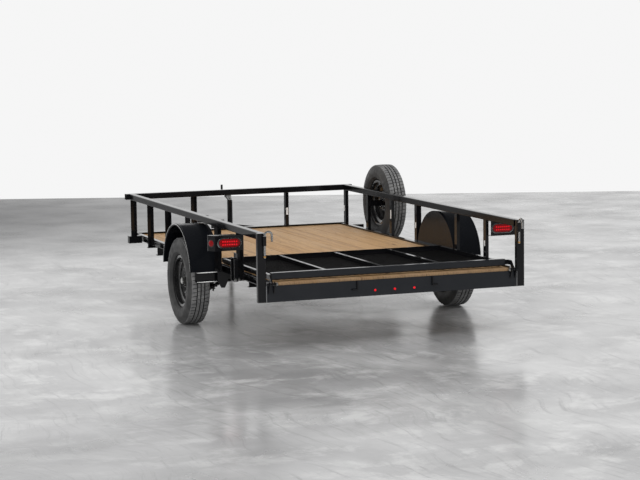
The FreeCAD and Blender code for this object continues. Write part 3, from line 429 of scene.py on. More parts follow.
@dataclass(frozen=True)
class TimberSpec:
    """Planed pine: long grain, growth bands, knots, and a tone of its own for each board.

    Attributes:
        pale: Wood between the growth bands.
        dark: Growth bands.
        fibre: Fine fibres.
        light_board: Tone towards which single boards lean.
        stain: Long stains.
        knot: Knots.
        rear_end_dark: Darker colour at the rear ends of the boards, by the gate.
        band_scale: Growth bands per metre across the board.
        fibre_scale: Fibres per metre across the board.
        stain_scale: Stains per metre across the board.
        knot_scale: Knots per metre.
        grain_length: Stretch of the bands along the board.
        fibre_length: Stretch of fibres and stains along the board.
        knot_length: Stretch of the knots along the board.
        board_shift: How far the grain of one board is moved from that of the next.
        bands: Share of the dark bands over the wave.
        fibres: Share of the fibres over their noise.
        boards: Share of the lighter tone over the board's own number.
        stains: Share of the stains over their noise.
        knots: Share of a knot over the distance from its middle.
        darkening: Share of the darker rear ends over y in metres.
        sheen: Roughness over the fibres.
        relief: Height in metres and weight of the fibres.
    """

    pale: Colour = (0.500, 0.296, 0.126)
    dark: Colour = (0.235, 0.124, 0.048)
    fibre: Colour = (0.200, 0.118, 0.056)
    light_board: Colour = (0.45, 0.31, 0.180)
    stain: Colour = (0.190, 0.105, 0.048)
    knot: Colour = (0.060, 0.028, 0.014)
    rear_end_dark: Colour = (0.085, 0.062, 0.042)
    band_scale: float = 16.0
    fibre_scale: float = 320.0
    stain_scale: float = 26.0
    knot_scale: float = 3.4
    grain_length: float = 0.07
    fibre_length: float = 0.02
    knot_length: float = 0.42
    board_shift: tuple[float, float, float] = (0.0, 7.3, 3.1)
    bands: Ramp = (0.25, 0.95, 0.0, 0.85)
    fibres: Ramp = (0.35, 0.75, 0.0, 0.34)
    boards: Ramp = (0.0, 1.0, 0.0, 0.38)
    stains: Ramp = (0.52, 0.70, 0.0, 0.6)
    knots: Ramp = (0.035, 0.075, 1.0, 0.0)
    darkening: Ramp = (-2.40, -2.30, 0.55, 0.0)
    sheen: Ramp = (0.3, 0.7, 0.48, 0.68)
    relief: tuple[float, float] = (0.0004, 0.6)

    def make(self, name: str) -> bpy.types.Material:
        """Build the material.

        Args:
            name: Material name.

        Returns:
            The material.
        """
        g = Graph(bpy.data.materials.new(name))
        where = g.coordinates()
        split = g.add("ShaderNodeSeparateXYZ")
        g.link(where, split.inputs["Vector"])
        deck = DeckSize()
        board = g.add("ShaderNodeMath", operation="MULTIPLY_ADD")
        board.inputs[1].default_value = 1 / deck.pitch
        board.inputs[2].default_value = 0.5 * deck.count
        g.link(split.outputs["X"], board.inputs[0])
        index = g.add("ShaderNodeMath", operation="FLOOR")
        g.link(board.outputs["Value"], index.inputs[0])
        tone = g.add("ShaderNodeTexWhiteNoise", noise_dimensions="1D")
        g.link(index.outputs["Value"], tone.inputs["W"])
        own = g.offset(tone.outputs["Color"], self.board_shift, where)
        bands = g.add("ShaderNodeTexWave", wave_type="BANDS", bands_direction="X", Scale=self.band_scale,
                      Distortion=9.0, Detail=3.0, Detail_Scale=1.4)
        g.link(g.stretch(own, (1.0, self.grain_length, 1.0)), bands.inputs["Vector"])
        along = g.stretch(own, (1.0, self.fibre_length, 1.0))
        fibre = g.noise(along, self.fibre_scale, 5.0)
        knots = g.cells(g.stretch(own, (1.0, self.knot_length, 1.0)), self.knot_scale)
        wood = g.mix(g.remap(bands.outputs["Fac"], *self.bands), self.pale, self.dark)
        wood = g.mix(g.remap(fibre, *self.fibres), wood, self.fibre)
        wood = g.mix(g.remap(tone.outputs["Value"], *self.boards), wood, self.light_board)
        wood = g.mix(g.remap(g.noise(along, self.stain_scale), *self.stains), wood, self.stain)
        wood = g.mix(g.remap(knots, *self.knots), wood, self.knot)
        # The boards darken towards their rear ends.
        wood = g.mix(g.remap(split.outputs["Y"], *self.darkening), wood, self.rear_end_dark)
        return g.close(g.shader(wood, g.remap(fibre, *self.sheen), g.bump(fibre, *self.relief)))


@dataclass(frozen=True)
class RubberSpec:
    """Tyre rubber with dust in its hollows and a fine grain.

    Attributes:
        colour: Clean rubber.
        dust: Dust in the hollows.
        scales: Cells per metre of the dust, of the wear and of the grain.
        dusty: Share of dust over its noise.
        sheen: Roughness over the wear.
        relief: Height in metres and weight of the grain.
    """

    colour: Colour = (0.028, 0.028, 0.0285)
    dust: Colour = (0.085, 0.084, 0.081)
    scales: tuple[float, float, float] = (9.0, 30.0, 900.0)
    dusty: Ramp = (0.35, 0.75, 0.0, 0.55)
    sheen: Ramp = (0.3, 0.7, 0.46, 0.68)
    relief: tuple[float, float] = (0.0001, 0.7)

    def make(self, name: str) -> bpy.types.Material:
        """Build the material.

        Args:
            name: Material name.

        Returns:
            The material.
        """
        g = Graph(bpy.data.materials.new(name))
        where = g.coordinates()
        dust_scale, wear_scale, grain_scale = self.scales
        dust = g.remap(g.noise(where, dust_scale, 6.0), *self.dusty)
        return g.close(g.shader(
            g.mix(dust, self.colour, self.dust), g.remap(g.noise(where, wear_scale), *self.sheen),
            g.bump(g.noise(where, grain_scale, 2.0), *self.relief)))


@dataclass(frozen=True)
class LensSpec:
    """Moulded lens plastic with small optics pressed into its back, and a painted glow.

    Attributes:
        colour: Colour of the plastic.
        painted_glow: Strength of the painted glow that brightens the lens.
        facets: Optics per metre.
        shade: Share of the colour left between the optics.
        dark: Share of the shaded colour over the distance from an optic's middle.
        sheen: Roughness over that distance.
        relief: Height in metres and weight of the optics.
        coat: Weight and roughness of the clear coat.
        ior: Index of refraction.
    """

    colour: Colour
    painted_glow: float
    facets: float = 190.0
    shade: float = 0.15
    dark: Ramp = (0.0, 0.6, 0.0, 0.5)
    sheen: Ramp = (0.0, 0.5, 0.1, 0.24)
    relief: tuple[float, float] = (0.0008, 0.5)
    coat: tuple[float, float] = (0.25, 0.04)
    ior: float = 1.35

    def make(self, name: str) -> bpy.types.Material:
        """Build the material.

        Args:
            name: Material name.

        Returns:
            The material.
        """
        g = Graph(bpy.data.materials.new(name))
        facet = g.cells(g.coordinates(), self.facets)
        shaded = tuple(self.shade * c for c in self.colour)
        tinted = g.mix(g.remap(facet, *self.dark), self.colour, shaded)
        weight, rough = self.coat
        # Painted glow: the lens gives off light in its own colour.
        shader = g.shader(
            tinted, g.remap(facet, *self.sheen), g.bump(facet, *self.relief),
            Coat_Weight=weight, Coat_Roughness=rough, IOR=self.ior, Emission_Strength=self.painted_glow)
        g.link(tinted, shader.inputs["Emission Color"])
        return g.close(shader)


@dataclass(frozen=True)
class ConcreteSpec:
    """Pale power-floated concrete with a soft sheen, and painted shade round two patches.

    Attributes:
        low: Darker clouds.
        high: Lighter clouds.
        vein: Thin pale veins.
        swept: Darker trowel streaks.
        darkening: Painted shade: colour of the darker patches that stand in for uneven light on the floor.
        matt_shade: Colour of the dull patch in the distance, darker as painted shade.
        far_patch: Middle of the distant patch.
        near_patch: Middle of the patch by the camera.
        streak: Stretch of the trowel streaks along each axis.
        streak_turn: Their direction in radians.
        warp: How far the slow drift moves the pattern along each axis.
        clouds: Share of the lighter clouds over their noise.
        veins: Share of the veins over their noise.
        streaks: Share of the streaks over their noise.
        near: Share of the painted shade colour over the distance from the near patch.
        far: The same for the distant patch.
        dulled: Share of the dull, painted-shade surface over the distance from the distant patch.
        polish: Roughness over its noise.
        relief: Height in metres and weight of the slow waves.
        mirror: Level of the sheen.
    """

    low: Colour = (0.25, 0.25, 0.252)
    high: Colour = (0.40, 0.40, 0.40)
    vein: Colour = (0.50, 0.50, 0.497)
    swept: Colour = (0.20, 0.20, 0.202)
    # Painted shade: the next two colours darken the floor round its patches.
    darkening: Colour = (0.16, 0.16, 0.162)
    matt_shade: Colour = (0.19, 0.19, 0.192)
    far_patch: tuple[float, float, float] = (-1.8, 8.6, 0.0)
    near_patch: tuple[float, float, float] = (-4.2, -5.7, 0.0)
    streak: tuple[float, float, float] = (8.0, 0.55, 1.0)
    streak_turn: float = 0.7
    warp: tuple[float, float, float] = (1.6, 1.6, 0.0)
    clouds: Ramp = (0.36, 0.62, 0.0, 1.0)
    veins: Ramp = (0.50, 0.64, 0.0, 0.75)
    streaks: Ramp = (0.53, 0.66, 0.0, 0.60)
    near: Ramp = (0.8, 3.0, 0.55, 0.0)
    far: Ramp = (1.8, 5.6, 0.95, 0.0)
    dulled: Ramp = (1.0, 5.6, 0.74, 0.0)
    polish: Ramp = (0.3, 0.7, 0.13, 0.30)
    relief: tuple[float, float] = (0.0012, 0.16)
    mirror: float = 0.55

    def make(self, name: str) -> bpy.types.Material:
        """Build the material.

        Args:
            name: Material name.

        Returns:
            The material.
        """
        g = Graph(bpy.data.materials.new(name))
        where = g.coordinates()
        drift = g.add("ShaderNodeTexNoise", Scale=0.32, Detail=3.0)
        g.link(where, drift.inputs["Vector"])
        warped = g.offset(drift.outputs["Color"], self.warp, where)
        cloud = g.remap(g.noise(warped, 0.9, 9.0, 0.62), *self.clouds)
        vein = g.remap(g.noise(warped, 2.6, 8.0, 0.7), *self.veins)
        along = g.stretch(warped, self.streak, self.streak_turn)
        swept = g.remap(g.noise(along, 2.6, 8.0, 0.72), *self.streaks)
        # Painted shade: the floor darkens round a patch by the camera and round one far off, where it also
        # turns dull.
        far = g.distance(where, self.far_patch)
        near = g.remap(g.distance(where, self.near_patch), *self.near)
        floor = g.mix(vein, g.mix(cloud, self.low, self.high), self.vein)
        floor = g.mix(near, g.mix(swept, floor, self.swept), self.darkening)
        floor = g.mix(g.remap(far, *self.far), floor, self.darkening)
        sheen = g.shader(
            floor, g.remap(g.noise(where, 1.3, 7.0), *self.polish),
            g.bump(g.noise(where, 2.2, 5.0), *self.relief), Specular_IOR_Level=self.mirror)
        matt_shade = g.add("ShaderNodeBsdfDiffuse", Color=(*self.matt_shade, 1.0))
        return g.close(g.blend(g.remap(far, *self.dulled), sheen, matt_shade))


FRAME_PAINT = PaintSpec(
    (0.0042, 0.0042, 0.0050), (0.030, 0.030, 0.031), 0.06, 0.08, 0.17, coat_rough=0.06, scale=5.0, bump=0.00002,
    bump_scale=90.0)
SPECS: dict[Finish, Spec] = {
    Finish.FRAME: FRAME_PAINT,
    # Painted light: a slightly lighter, bluer copy of the frame paint for the fenders.
    Finish.FENDER: replace(FRAME_PAINT, colour=(0.0046, 0.0052, 0.0066), dust=(0.022, 0.022, 0.023),
                           rough_low=0.12, rough_high=0.24, ior=1.24),
    # Painted shade: a darker copy of the frame paint for the top rails, which also mirrors less.
    Finish.RAIL: replace(FRAME_PAINT, colour=(0.0036, 0.0036, 0.0042), dust_amount=0.05, ior=1.30),
    # Painted light: a lighter, bluer copy of the frame paint with more dust, so the rear channel and gate bar
    # read as lit.
    Finish.REAR: replace(FRAME_PAINT, colour=(0.0110, 0.0122, 0.0148), dust=(0.034, 0.034, 0.035),
                         dust_amount=0.14, rough_low=0.10, rough_high=0.22),
    Finish.MESH: PaintSpec((0.0042, 0.0042, 0.0046), (0.02, 0.02, 0.02), 0.1, 0.5, 0.7, ior=1.16),
    Finish.WHEEL: PaintSpec((0.011, 0.011, 0.0114), (0.06, 0.059, 0.058), 0.14, 0.12, 0.24, coat=0.8,
                            coat_rough=0.08, scale=9.0, bump=0.00002, bump_scale=120.0),
    # Dust and painted light: the tread is lighter than the walls, partly for dust, partly for the light on it.
    Finish.TREAD: PaintSpec((0.120, 0.120, 0.121), (0.220, 0.219, 0.215), 0.8, 0.6, 0.85, scale=24.0,
                            bump=0.0001, bump_scale=700.0, ior=1.3),
    # Painted shade: near-black rubber for the groove floors.
    Finish.GROOVE: PaintSpec((0.006, 0.006, 0.006), (0.02, 0.02, 0.019), 0.3, 0.6, 0.8),
    Finish.ZINC: PaintSpec((0.66, 0.66, 0.64), (0.42, 0.41, 0.38), 0.45, 0.26, 0.46, metallic=1.0),
    Finish.DULL: PaintSpec((0.16, 0.16, 0.155), (0.06, 0.055, 0.05), 0.7, 0.38, 0.6, metallic=1.0),
    Finish.STEEL: PaintSpec((0.72, 0.72, 0.71), (0.5, 0.49, 0.47), 0.3, 0.18, 0.34, metallic=1.0),
    Finish.BRASS: PaintSpec((0.78, 0.42, 0.1), (0.5, 0.3, 0.1), 0.35, 0.24, 0.4, metallic=0.8),
    Finish.WELD: PaintSpec((0.34, 0.34, 0.35), (0.12, 0.12, 0.12), 0.6, 0.22, 0.4, metallic=0.75, coat=0.2,
                           coat_rough=0.1, scale=160.0),
    Finish.PLATE: PaintSpec((0.74, 0.74, 0.73), (0.5, 0.49, 0.46), 0.25, 0.34, 0.5, coat=0.3, coat_rough=0.1),
    Finish.BEZEL: PaintSpec((0.02, 0.02, 0.021), (0.08, 0.078, 0.075), 0.2, 0.16, 0.28, coat=0.8),
    Finish.GROMMET: PaintSpec((0.012, 0.012, 0.012), (0.07, 0.068, 0.065), 0.3, 0.42, 0.6),
    Finish.GRIP: PaintSpec((0.01, 0.01, 0.01), (0.06, 0.058, 0.055), 0.2, 0.4, 0.6),
    Finish.TIMBER: TimberSpec(),
    Finish.RUBBER: RubberSpec(),
    # Painted glow: each lens gives off a faint light; the red optics and rear markers glow most, as painted
    # highlights.
    Finish.RED: LensSpec((0.25, 0.001, 0.003), 0.10),
    Finish.RED_DEEP: LensSpec((0.80, 0.008, 0.016), 0.68),
    Finish.AMBER: LensSpec((0.9, 0.24, 0.01), 0.2),
    Finish.FLOOR: ConcreteSpec(),
}


class Palette:
    """Makes each material once and hands it out by finish."""

    def __init__(self) -> None:
        """Start with no material made."""
        self._made: dict[Finish, bpy.types.Material] = {}

    def get(self, finish: Finish) -> bpy.types.Material:
        """Return the material of a finish, made at first use.

        Args:
            finish: Which finish.

        Returns:
            The material.
        """
        if finish not in self._made:
            self._made[finish] = SPECS[finish].make(finish.value)
            LOG.info("material %s", finish.value)
        return self._made[finish]


class Workshop:
    """Turns bmesh geometry into named pieces that ride on a body of the frame."""

    def __init__(self, palette: Palette) -> None:
        """Keep the palette."""
        self.palette = palette

    def piece(
        self, name: str, bm: bmesh.types.BMesh, body: str, finish: Finish, slot: str, smooth: bool = True,
        angle: float = 35.0, stands_for: Iterable[str] = (),
    ) -> bpy.types.Object:
        """Store a mesh as a piece of the object.

        Args:
            name: Piece name.
            bm: Geometry in the frame's axes; it is freed here.
            body: Body that carries the piece.
            finish: Its material.
            slot: The record's material slot; not used.
            smooth: Whether faces shade smoothly below angle.
            angle: Smoothing limit in degrees.
            stands_for: Nodes of the frame that the piece replaces.

        Returns:
            The new object.
        """
        bmesh.ops.recalc_face_normals(bm, faces=bm.faces[:])
        mesh = bpy.data.meshes.new(name)
        bm.to_mesh(mesh)
        bm.free()
        mesh.materials.append(self.palette.get(finish))
        obj = bpy.data.objects.new(name, mesh)
        bpy.context.scene.collection.objects.link(obj)
        if smooth:
            mesh.shade_smooth()
            mesh.set_sharp_from_angle(angle=math.radians(angle))
        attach(obj, body)
        if stands_for:
            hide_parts(*stands_for)
        LOG.info("piece %s: %d faces on %s", name, len(mesh.polygons), body)
        return obj


def skin(bm: bmesh.types.BMesh, rings: Sequence[Sequence[Vert]], capped: bool = True) -> None:
    """Join neighbouring rings of vertices by faces.

    Args:
        bm: Mesh that holds the vertices.
        rings: Rings in order, all of one length.
        capped: True for closed rings whose first and last are capped, False for open
            sections that run round an axle and meet again.
    """
    count = len(rings[0])
    following = list(rings[1:]) + ([] if capped else [rings[0]])
    for low, high in zip(rings, following):
        for k in range(count if capped else count - 1):
            after = (k + 1) % count
            bm.faces.new((low[k], low[after], high[after], high[k]))
    if capped:
        bm.faces.new(rings[0])
        bm.faces.new(rings[-1])


def bead_ring(bm: bmesh.types.BMesh, centre: Vector, turn: Matrix, radius: float) -> list[Vert]:
    """Add the vertices of a small ring.

    Args:
        bm: Mesh to add to.
        centre: Middle of the ring.
        turn: Carries Z to the ring's axis.
        radius: Its radius in metres.

    Returns:
        The vertices in order.
    """
    angles = (2 * math.pi * k / BEAD_SIDES for k in range(BEAD_SIDES))
    spots = (Vector((math.cos(a) * radius, math.sin(a) * radius, 0)) for a in angles)
    return [bm.verts.new(centre + turn @ spot) for spot in spots]


def disc(
    bm: bmesh.types.BMesh, foot: Vector, direction: Vector, start: float, length: float,
    radii: tuple[float, float], segments: int,
) -> list[Vert]:
    """Add a straight or tapered round along a direction.

    Args:
        bm: Mesh to add to.
        foot: Point that lengths count from.
        direction: Way that it runs.
        start: Distance of its near end from the foot.
        length: Its length.
        radii: Near and far radius.
        segments: Sides.

    Returns:
        Its vertices.
    """
    place = orient(direction, foot + direction.normalized() * (start + length / 2))
    return bmesh.ops.create_cone(bm, cap_ends=True, segments=segments, radius1=radii[0], radius2=radii[1],
                                 depth=length, matrix=place)["verts"]


@dataclass(frozen=True)
class BoltSize:
    """Hex fastener in metres: half the width across corners, head height, washer and shank."""

    corner: float = 0.0115
    height: float = 0.009
    washer: float = 0.014
    washer_height: float = 0.0022
    shank: float = 0.0
    shank_radius: float = 0.0055
    chamfer: float = 0.14
    shank_taper: float = 0.85


class Hardware:
    """Adds hex heads, nuts and weld beads to a shared bmesh."""

    HEX = 6
    WASHER_SIDES = 20
    SHANK_SIDES = 16
    CREST = 1.16
    TROUGH = 0.9
    BEAD_END = 0.45

    def __init__(self, size: BoltSize = BoltSize()) -> None:
        """Keep the fastener's size."""
        self.size = size

    def hex_head(self, bm: bmesh.types.BMesh, centre: Vector, direction: Vector) -> None:
        """Add a chamfered hex head with its washer, and a shank end if the size has one.

        Args:
            bm: Mesh to add to.
            centre: Point on the seat.
            direction: Way the head points.
        """
        s = self.size
        way = direction.normalized()
        disc(bm, centre, direction, 0.0, s.washer_height, (s.washer, s.washer), self.WASHER_SIDES)
        head = disc(bm, centre, direction, s.washer_height, s.height, (s.corner, s.corner), self.HEX)
        top = {f for v in head for f in v.link_faces
               if f.normal.dot(way) > 0.9 or (f.calc_center_median() - centre).dot(way) > 0.9 * s.height}
        rim = {e for f in top if len(f.edges) == self.HEX for e in f.edges}
        if rim:
            bmesh.ops.bevel(bm, geom=list(rim), offset=s.corner * s.chamfer, offset_type="OFFSET", segments=2,
                            profile=0.5, affect="EDGES", material=-1)
        if s.shank > 0:
            disc(bm, centre, direction, s.washer_height + s.height, s.shank,
                 (s.shank_radius, s.shank_radius * s.shank_taper), self.SHANK_SIDES)

    @classmethod
    def weld(
        cls, bm: bmesh.types.BMesh, start: Vector, end: Vector, radius: float = 0.0028, ripple: float = 0.0042,
    ) -> None:
        """Add a rippled bead along a straight joint.

        Args:
            bm: Mesh to add to.
            start: First end of the joint.
            end: Other end.
            radius: Half the bead's width.
            ripple: Spacing of its ripples.
        """
        run = end - start
        steps = max(4, int(run.length / ripple) * 2)
        turn = orient(run, Vector()).to_3x3()
        rings = []
        for i in range(steps + 1):
            swell = radius * (cls.CREST if i % 2 else cls.TROUGH)
            swell *= cls.BEAD_END if i in (0, steps) else 1.0
            rings.append(bead_ring(bm, start + run * (i / steps), turn, swell))
        skin(bm, rings)


@dataclass(frozen=True)
class TyreSize:
    """Tyre section in metres, about its own axle line.

    Attributes:
        wall: Side wall from the bead up, as (share of the way from toe to full width, radius).
        shoulder: The same for the points that the shoulder notches lower.
        crown_drop: Fall of the tread at the rib's edge.
        groove_floor: Width of a groove's floor as a share of its own.
        lip: Width of the rounding beside a groove, and its depth.
        pitches: Notches round the tyre.
        sipe_skew: Turn of a notch across the tread, in radians per metre.
        sipe_wave: Height of its zigzag in radians, and radians per metre across.
        tread_band: Depth from the crown that gets the tread finish, dust and painted light.
        groove_band: Share of a groove's depth below which it gets painted shade.
    """

    radius: float = 0.345
    half_width: float = 0.091
    toe: float = 0.0575
    wall: Pairs = (
        (0.0, 0.1910), (0.0, 0.2070), (0.117, 0.2095), (0.26, 0.2128), (0.481, 0.2178), (0.675, 0.2245),
        (0.805, 0.2310), (0.839, 0.2318), (0.883, 0.2345), (0.883, 0.2380), (0.909, 0.2440), (1.0, 0.2610),
        (1.0, 0.2740), (0.969, 0.2860), (0.943, 0.2890), (0.943, 0.2925), (0.901, 0.2945), (0.839, 0.3030),
        (0.753, 0.3130), (0.701, 0.3160), (0.636, 0.3225), (0.590, 0.3290),
    )
    shoulder: Pairs = ((0.46, 0.3350), (0.36, 0.3398))
    rib_edge: float = 0.0655
    rib_edge_radius: float = 0.3426
    crown_drop: float = 0.00198
    groove_centres: tuple[float, ...] = (-0.0305, 0.0, 0.0305)
    groove_width: float = 0.0078
    groove_depth: float = 0.0085
    groove_floor: float = 0.62
    lip: tuple[float, float] = (0.0009, 0.0011)
    pitches: int = 66
    sipe_width: float = 0.0034
    sipe_depth: float = 0.0042
    sipe_skew: float = 0.42
    sipe_wave: tuple[float, float] = (0.012, 190.0)
    tread_band: float = 0.0095
    groove_band: float = 0.38


class RoadTyre:
    """Ribbed trailer tyre: four ribs, three grooves, shoulder notches and moulded rings."""

    def __init__(self, shop: Workshop, size: TyreSize = TyreSize()) -> None:
        """Keep the workshop and the sizes."""
        self.shop = shop
        self.size = size

    def profile(self) -> list[tuple[float, float, bool]]:
        """Section from one bead over the tread to the other.

        Returns:
            (x, radius, whether a sipe lowers the point), left bead first.
        """
        s = self.size
        span = s.half_width - s.toe
        wall = [(s.toe + share * span, height, False) for share, height in s.wall]
        wall += [(s.toe + share * span, height, True) for share, height in s.shoulder]
        wall.append((s.rib_edge, s.rib_edge_radius, True))
        lip, dip = s.lip
        crown: list[tuple[float, float, bool]] = []
        for centre in s.groove_centres:
            top = s.radius - (centre / s.rib_edge) ** 2 * s.crown_drop
            half = s.groove_width / 2
            floor, deep = half * s.groove_floor, top - s.groove_depth
            crown += [
                (centre - half - lip, top, True), (centre - half, top - dip, True),
                (centre - floor, deep, False), (centre + floor, deep, False),
                (centre + half, top - dip, True), (centre + half + lip, top, True),
            ]
        left = [(-x, height, low) for x, height, low in wall]
        return left + crown + list(reversed(wall))

    def stations(self) -> list[tuple[float, float]]:
        """Sections round the tyre.

        Returns:
            (angle, share of the sipe's depth) in order, six for each pitch.
        """
        s = self.size
        cut = s.sipe_width / s.radius
        step = 2 * math.pi / s.pitches
        slope = 0.25 * cut
        end = cut + 2 * slope
        rest = (step - end) / 3
        offsets = (
            (0.0, 0.0), (slope, 1.0), (slope + cut, 1.0), (end, 0.0), (end + rest, 0.0), (end + 2 * rest, 0.0))
        return [(i * step + offset, depth) for i in range(s.pitches) for offset, depth in offsets]

    def build(self, name: str, node: str, body: str) -> bpy.types.Object:
        """Make one tyre in place of a node.

        Args:
            name: Piece name.
            node: The frame's tyre node.
            body: Body that carries it.

        Returns:
            The tyre object.
        """
        s = self.size
        low, high = (Vector(corner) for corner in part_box(node))
        centre = (low + high) / 2
        centre.z = low.z + s.radius
        swing, waves = s.sipe_wave
        bm = bmesh.new()
        rings = []
        for angle, depth in self.stations():
            ring = []
            for x, radius, sinks in self.profile():
                away = radius - (s.sipe_depth * depth if sinks else 0.0)
                turn = angle + s.sipe_skew * max(-s.rib_edge, min(s.rib_edge, x)) + swing * math.sin(x * waves)
                ring.append(bm.verts.new(centre + Vector((x, away * math.sin(turn), away * math.cos(turn)))))
            rings.append(ring)
        skin(bm, rings, capped=False)
        tyre = self.shop.piece(name, bm, body, Finish.RUBBER, "tyre_rubber", angle=38.0, stands_for=(node,))
        # The crown gets dust and painted light, the groove floors painted shade.
        for finish in (Finish.GROOVE, Finish.TREAD):
            tyre.data.materials.append(self.shop.palette.get(finish))
        for face in tyre.data.polygons:
            off = face.center - centre
            reach = math.hypot(off.y, off.z)
            if abs(off.x) < s.rib_edge and reach < s.radius - s.groove_band * s.groove_depth:
                face.material_index = 1
            elif reach > s.radius - s.tread_band:
                face.material_index = 2
        return tyre


@dataclass(frozen=True)
class MeshSize:
    """Expanded metal in metres.

    Attributes:
        long_way: Width of a diamond across the gate.
        short_way: Width of a diamond along it.
        strand: Width of a strand.
        thickness: Thickness of the sheet.
        lift: Height over the plain node.
        tilt_deg: Fall towards the front.
    """

    long_way: float = 0.0508
    short_way: float = 0.0236
    strand: float = 0.0034
    thickness: float = 0.0052
    lift: float = 0.0006
    tilt_deg: float = 0.19


class ExpandedMetal:
    """The gate's sheet of expanded metal, a grid of diamonds with their middles cut out."""

    def __init__(self, shop: Workshop, size: MeshSize = MeshSize()) -> None:
        """Keep the workshop and the sizes."""
        self.shop = shop
        self.size = size

    def build(self) -> bpy.types.Object:
        """Make the sheet in place of its plain node.

        Returns:
            The sheet object.
        """
        s = self.size
        low, high = (Vector(corner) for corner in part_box("gate_mesh"))
        across = max(2, round((high.x - low.x) / s.long_way))
        along = max(2, round((high.y - low.y) / s.short_way))
        pitch_x = (high.x - low.x) / across
        pitch_y = (high.y - low.y) / along
        fall = math.tan(math.radians(s.tilt_deg))
        bm = bmesh.new()
        verts: dict[tuple[int, int], Vert] = {}

        def corner(i: int, j: int) -> Vert:
            """Vertex of the grid, made at first use.

            Args:
                i: Half pitches across.
                j: Half pitches along.

            Returns:
                The vertex.
            """
            if (i, j) not in verts:
                x = min(max(low.x + i * pitch_x / 2, low.x), high.x)
                y = min(max(low.y + j * pitch_y / 2, low.y), high.y)
                verts[(i, j)] = bm.verts.new((x, y, high.z + s.lift - (y - low.y) * fall))
            return verts[(i, j)]

        for i in range(1, 2 * across):
            for j in range(1, 2 * along):
                if (i + j) % 2:
                    bm.faces.new((corner(i - 1, j), corner(i, j - 1), corner(i + 1, j), corner(i, j + 1)))
        faces = bm.faces[:]
        bm.normal_update()
        bmesh.ops.inset_individual(bm, faces=faces, thickness=s.strand / 2, depth=0.0, use_even_offset=True)
        bmesh.ops.delete(bm, geom=faces, context="FACES_ONLY")
        bmesh.ops.recalc_face_normals(bm, faces=bm.faces[:])
        bmesh.ops.solidify(bm, geom=bm.faces[:], thickness=s.thickness)
        return self.shop.piece("gate_expanded_metal", bm, "gate", Finish.MESH, "frame_paint", smooth=False,
                               stands_for=("gate_mesh",))


@dataclass(frozen=True)
class DeckSize:
    """Deck in metres, with the screw lines in bed millimetres.

    Attributes:
        play: Room between a board's rebate and the channel it laps.
        lap: Height of the front rebate.
        screw: Lower radius, upper radius and height of a screw head.
        screw_shares: Places of the screws across a board.
        screw_rise: Height of a screw head's middle over the boards.
        screw_sides: Sides of a screw head.
    """

    count: int = 11
    half_width: float = 0.963
    gap: float = 0.003
    edge: float = 0.0035
    play: float = 0.003
    lap: float = 0.005
    screw: tuple[float, float, float] = (0.0052, 0.0046, 0.0012)
    screw_shares: tuple[float, float] = (0.25, 0.75)
    screw_rise: float = 0.0002
    screw_sides: int = 14
    screw_lines: tuple[float, ...] = (439.0, 1123.0, 1903.0, 2425.0, 2935.0, 3232.0)

    @property
    def pitch(self) -> float:
        """Distance from board to board."""
        return (2 * self.half_width + self.gap) / self.count


class DeckBoards:
    """Timber deck: one bevelled plank for each board, with screw heads over the members."""

    def __init__(self, shop: Workshop, size: DeckSize = DeckSize()) -> None:
        """Keep the workshop and the sizes."""
        self.shop = shop
        self.size = size

    def build(self) -> None:
        """Make the planks in place of the plain boards, and the screws in them."""
        s = self.size
        low, high = (Vector(corner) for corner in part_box("deck_boards"))
        ledge_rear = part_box("rear_channel")[1]
        ledge_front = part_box("front_member")[0]
        bm, screws = bmesh.new(), bmesh.new()
        width = s.pitch - s.gap
        wide, narrow, tall = s.screw
        for i in range(s.count):
            x0 = low.x + i * s.pitch
            self._plank(bm, x0, x0 + s.pitch - s.gap, low, high, ledge_rear, ledge_front[1])
        for line in s.screw_lines:
            y = bed(0, line, 0).y
            for i in range(s.count):
                for share in s.screw_shares:
                    spot = (low.x + i * s.pitch + share * width, y, high.z + s.screw_rise)
                    bmesh.ops.create_cone(
                        screws, cap_ends=True, segments=s.screw_sides, radius1=wide, radius2=narrow, depth=tall,
                        matrix=Matrix.Translation(spot))
        self.shop.piece("deck_planks", bm, "trailer", Finish.TIMBER, "deck_timber", angle=30.0,
                        stands_for=("deck_boards",))
        self.shop.piece("deck_screws", screws, "trailer", Finish.DULL, "zinc_plate", angle=30.0)

    def _plank(self, bm: bmesh.types.BMesh, x0: float, x1: float, low: Vector, high: Vector,
               rear: Sequence[float], front: float) -> None:
        """Add one plank whose ends are rebated over the end channels.

        Args:
            bm: Mesh to add to.
            x0: Its left side.
            x1: Its right side.
            low: Lowest corner of the deck.
            high: Highest corner of the deck.
            rear: Highest corner of the rear channel.
            front: Y of the front member's rear face.
        """
        y0, y1, z0, z1 = low.y, high.y, low.z, high.z
        rear_y, rear_z = rear[1] + self.size.play, rear[2]
        front_y, front_z = front - self.size.play, z0 + self.size.lap
        side = [(y0, rear_z), (rear_y, rear_z), (rear_y, z0), (front_y, z0), (front_y, front_z), (y1, front_z),
                (y1, z1), (y0, z1)]
        face = bm.faces.new([bm.verts.new((x0, y, z)) for y, z in side])
        grown = bmesh.ops.extrude_face_region(bm, geom=[face])
        moved = [g for g in grown["geom"] if isinstance(g, Vert)]
        bmesh.ops.translate(bm, verts=moved, vec=(x1 - x0, 0, 0))
        new_edges = {e for v in moved for e in v.link_edges} | set(face.edges)
        top = [e for e in new_edges if all(abs(v.co.z - z1) < NEAR for v in e.verts)]
        bmesh.ops.bevel(bm, geom=top, offset=self.size.edge, offset_type="OFFSET", segments=3, profile=0.5,
                        affect="EDGES", material=-1)


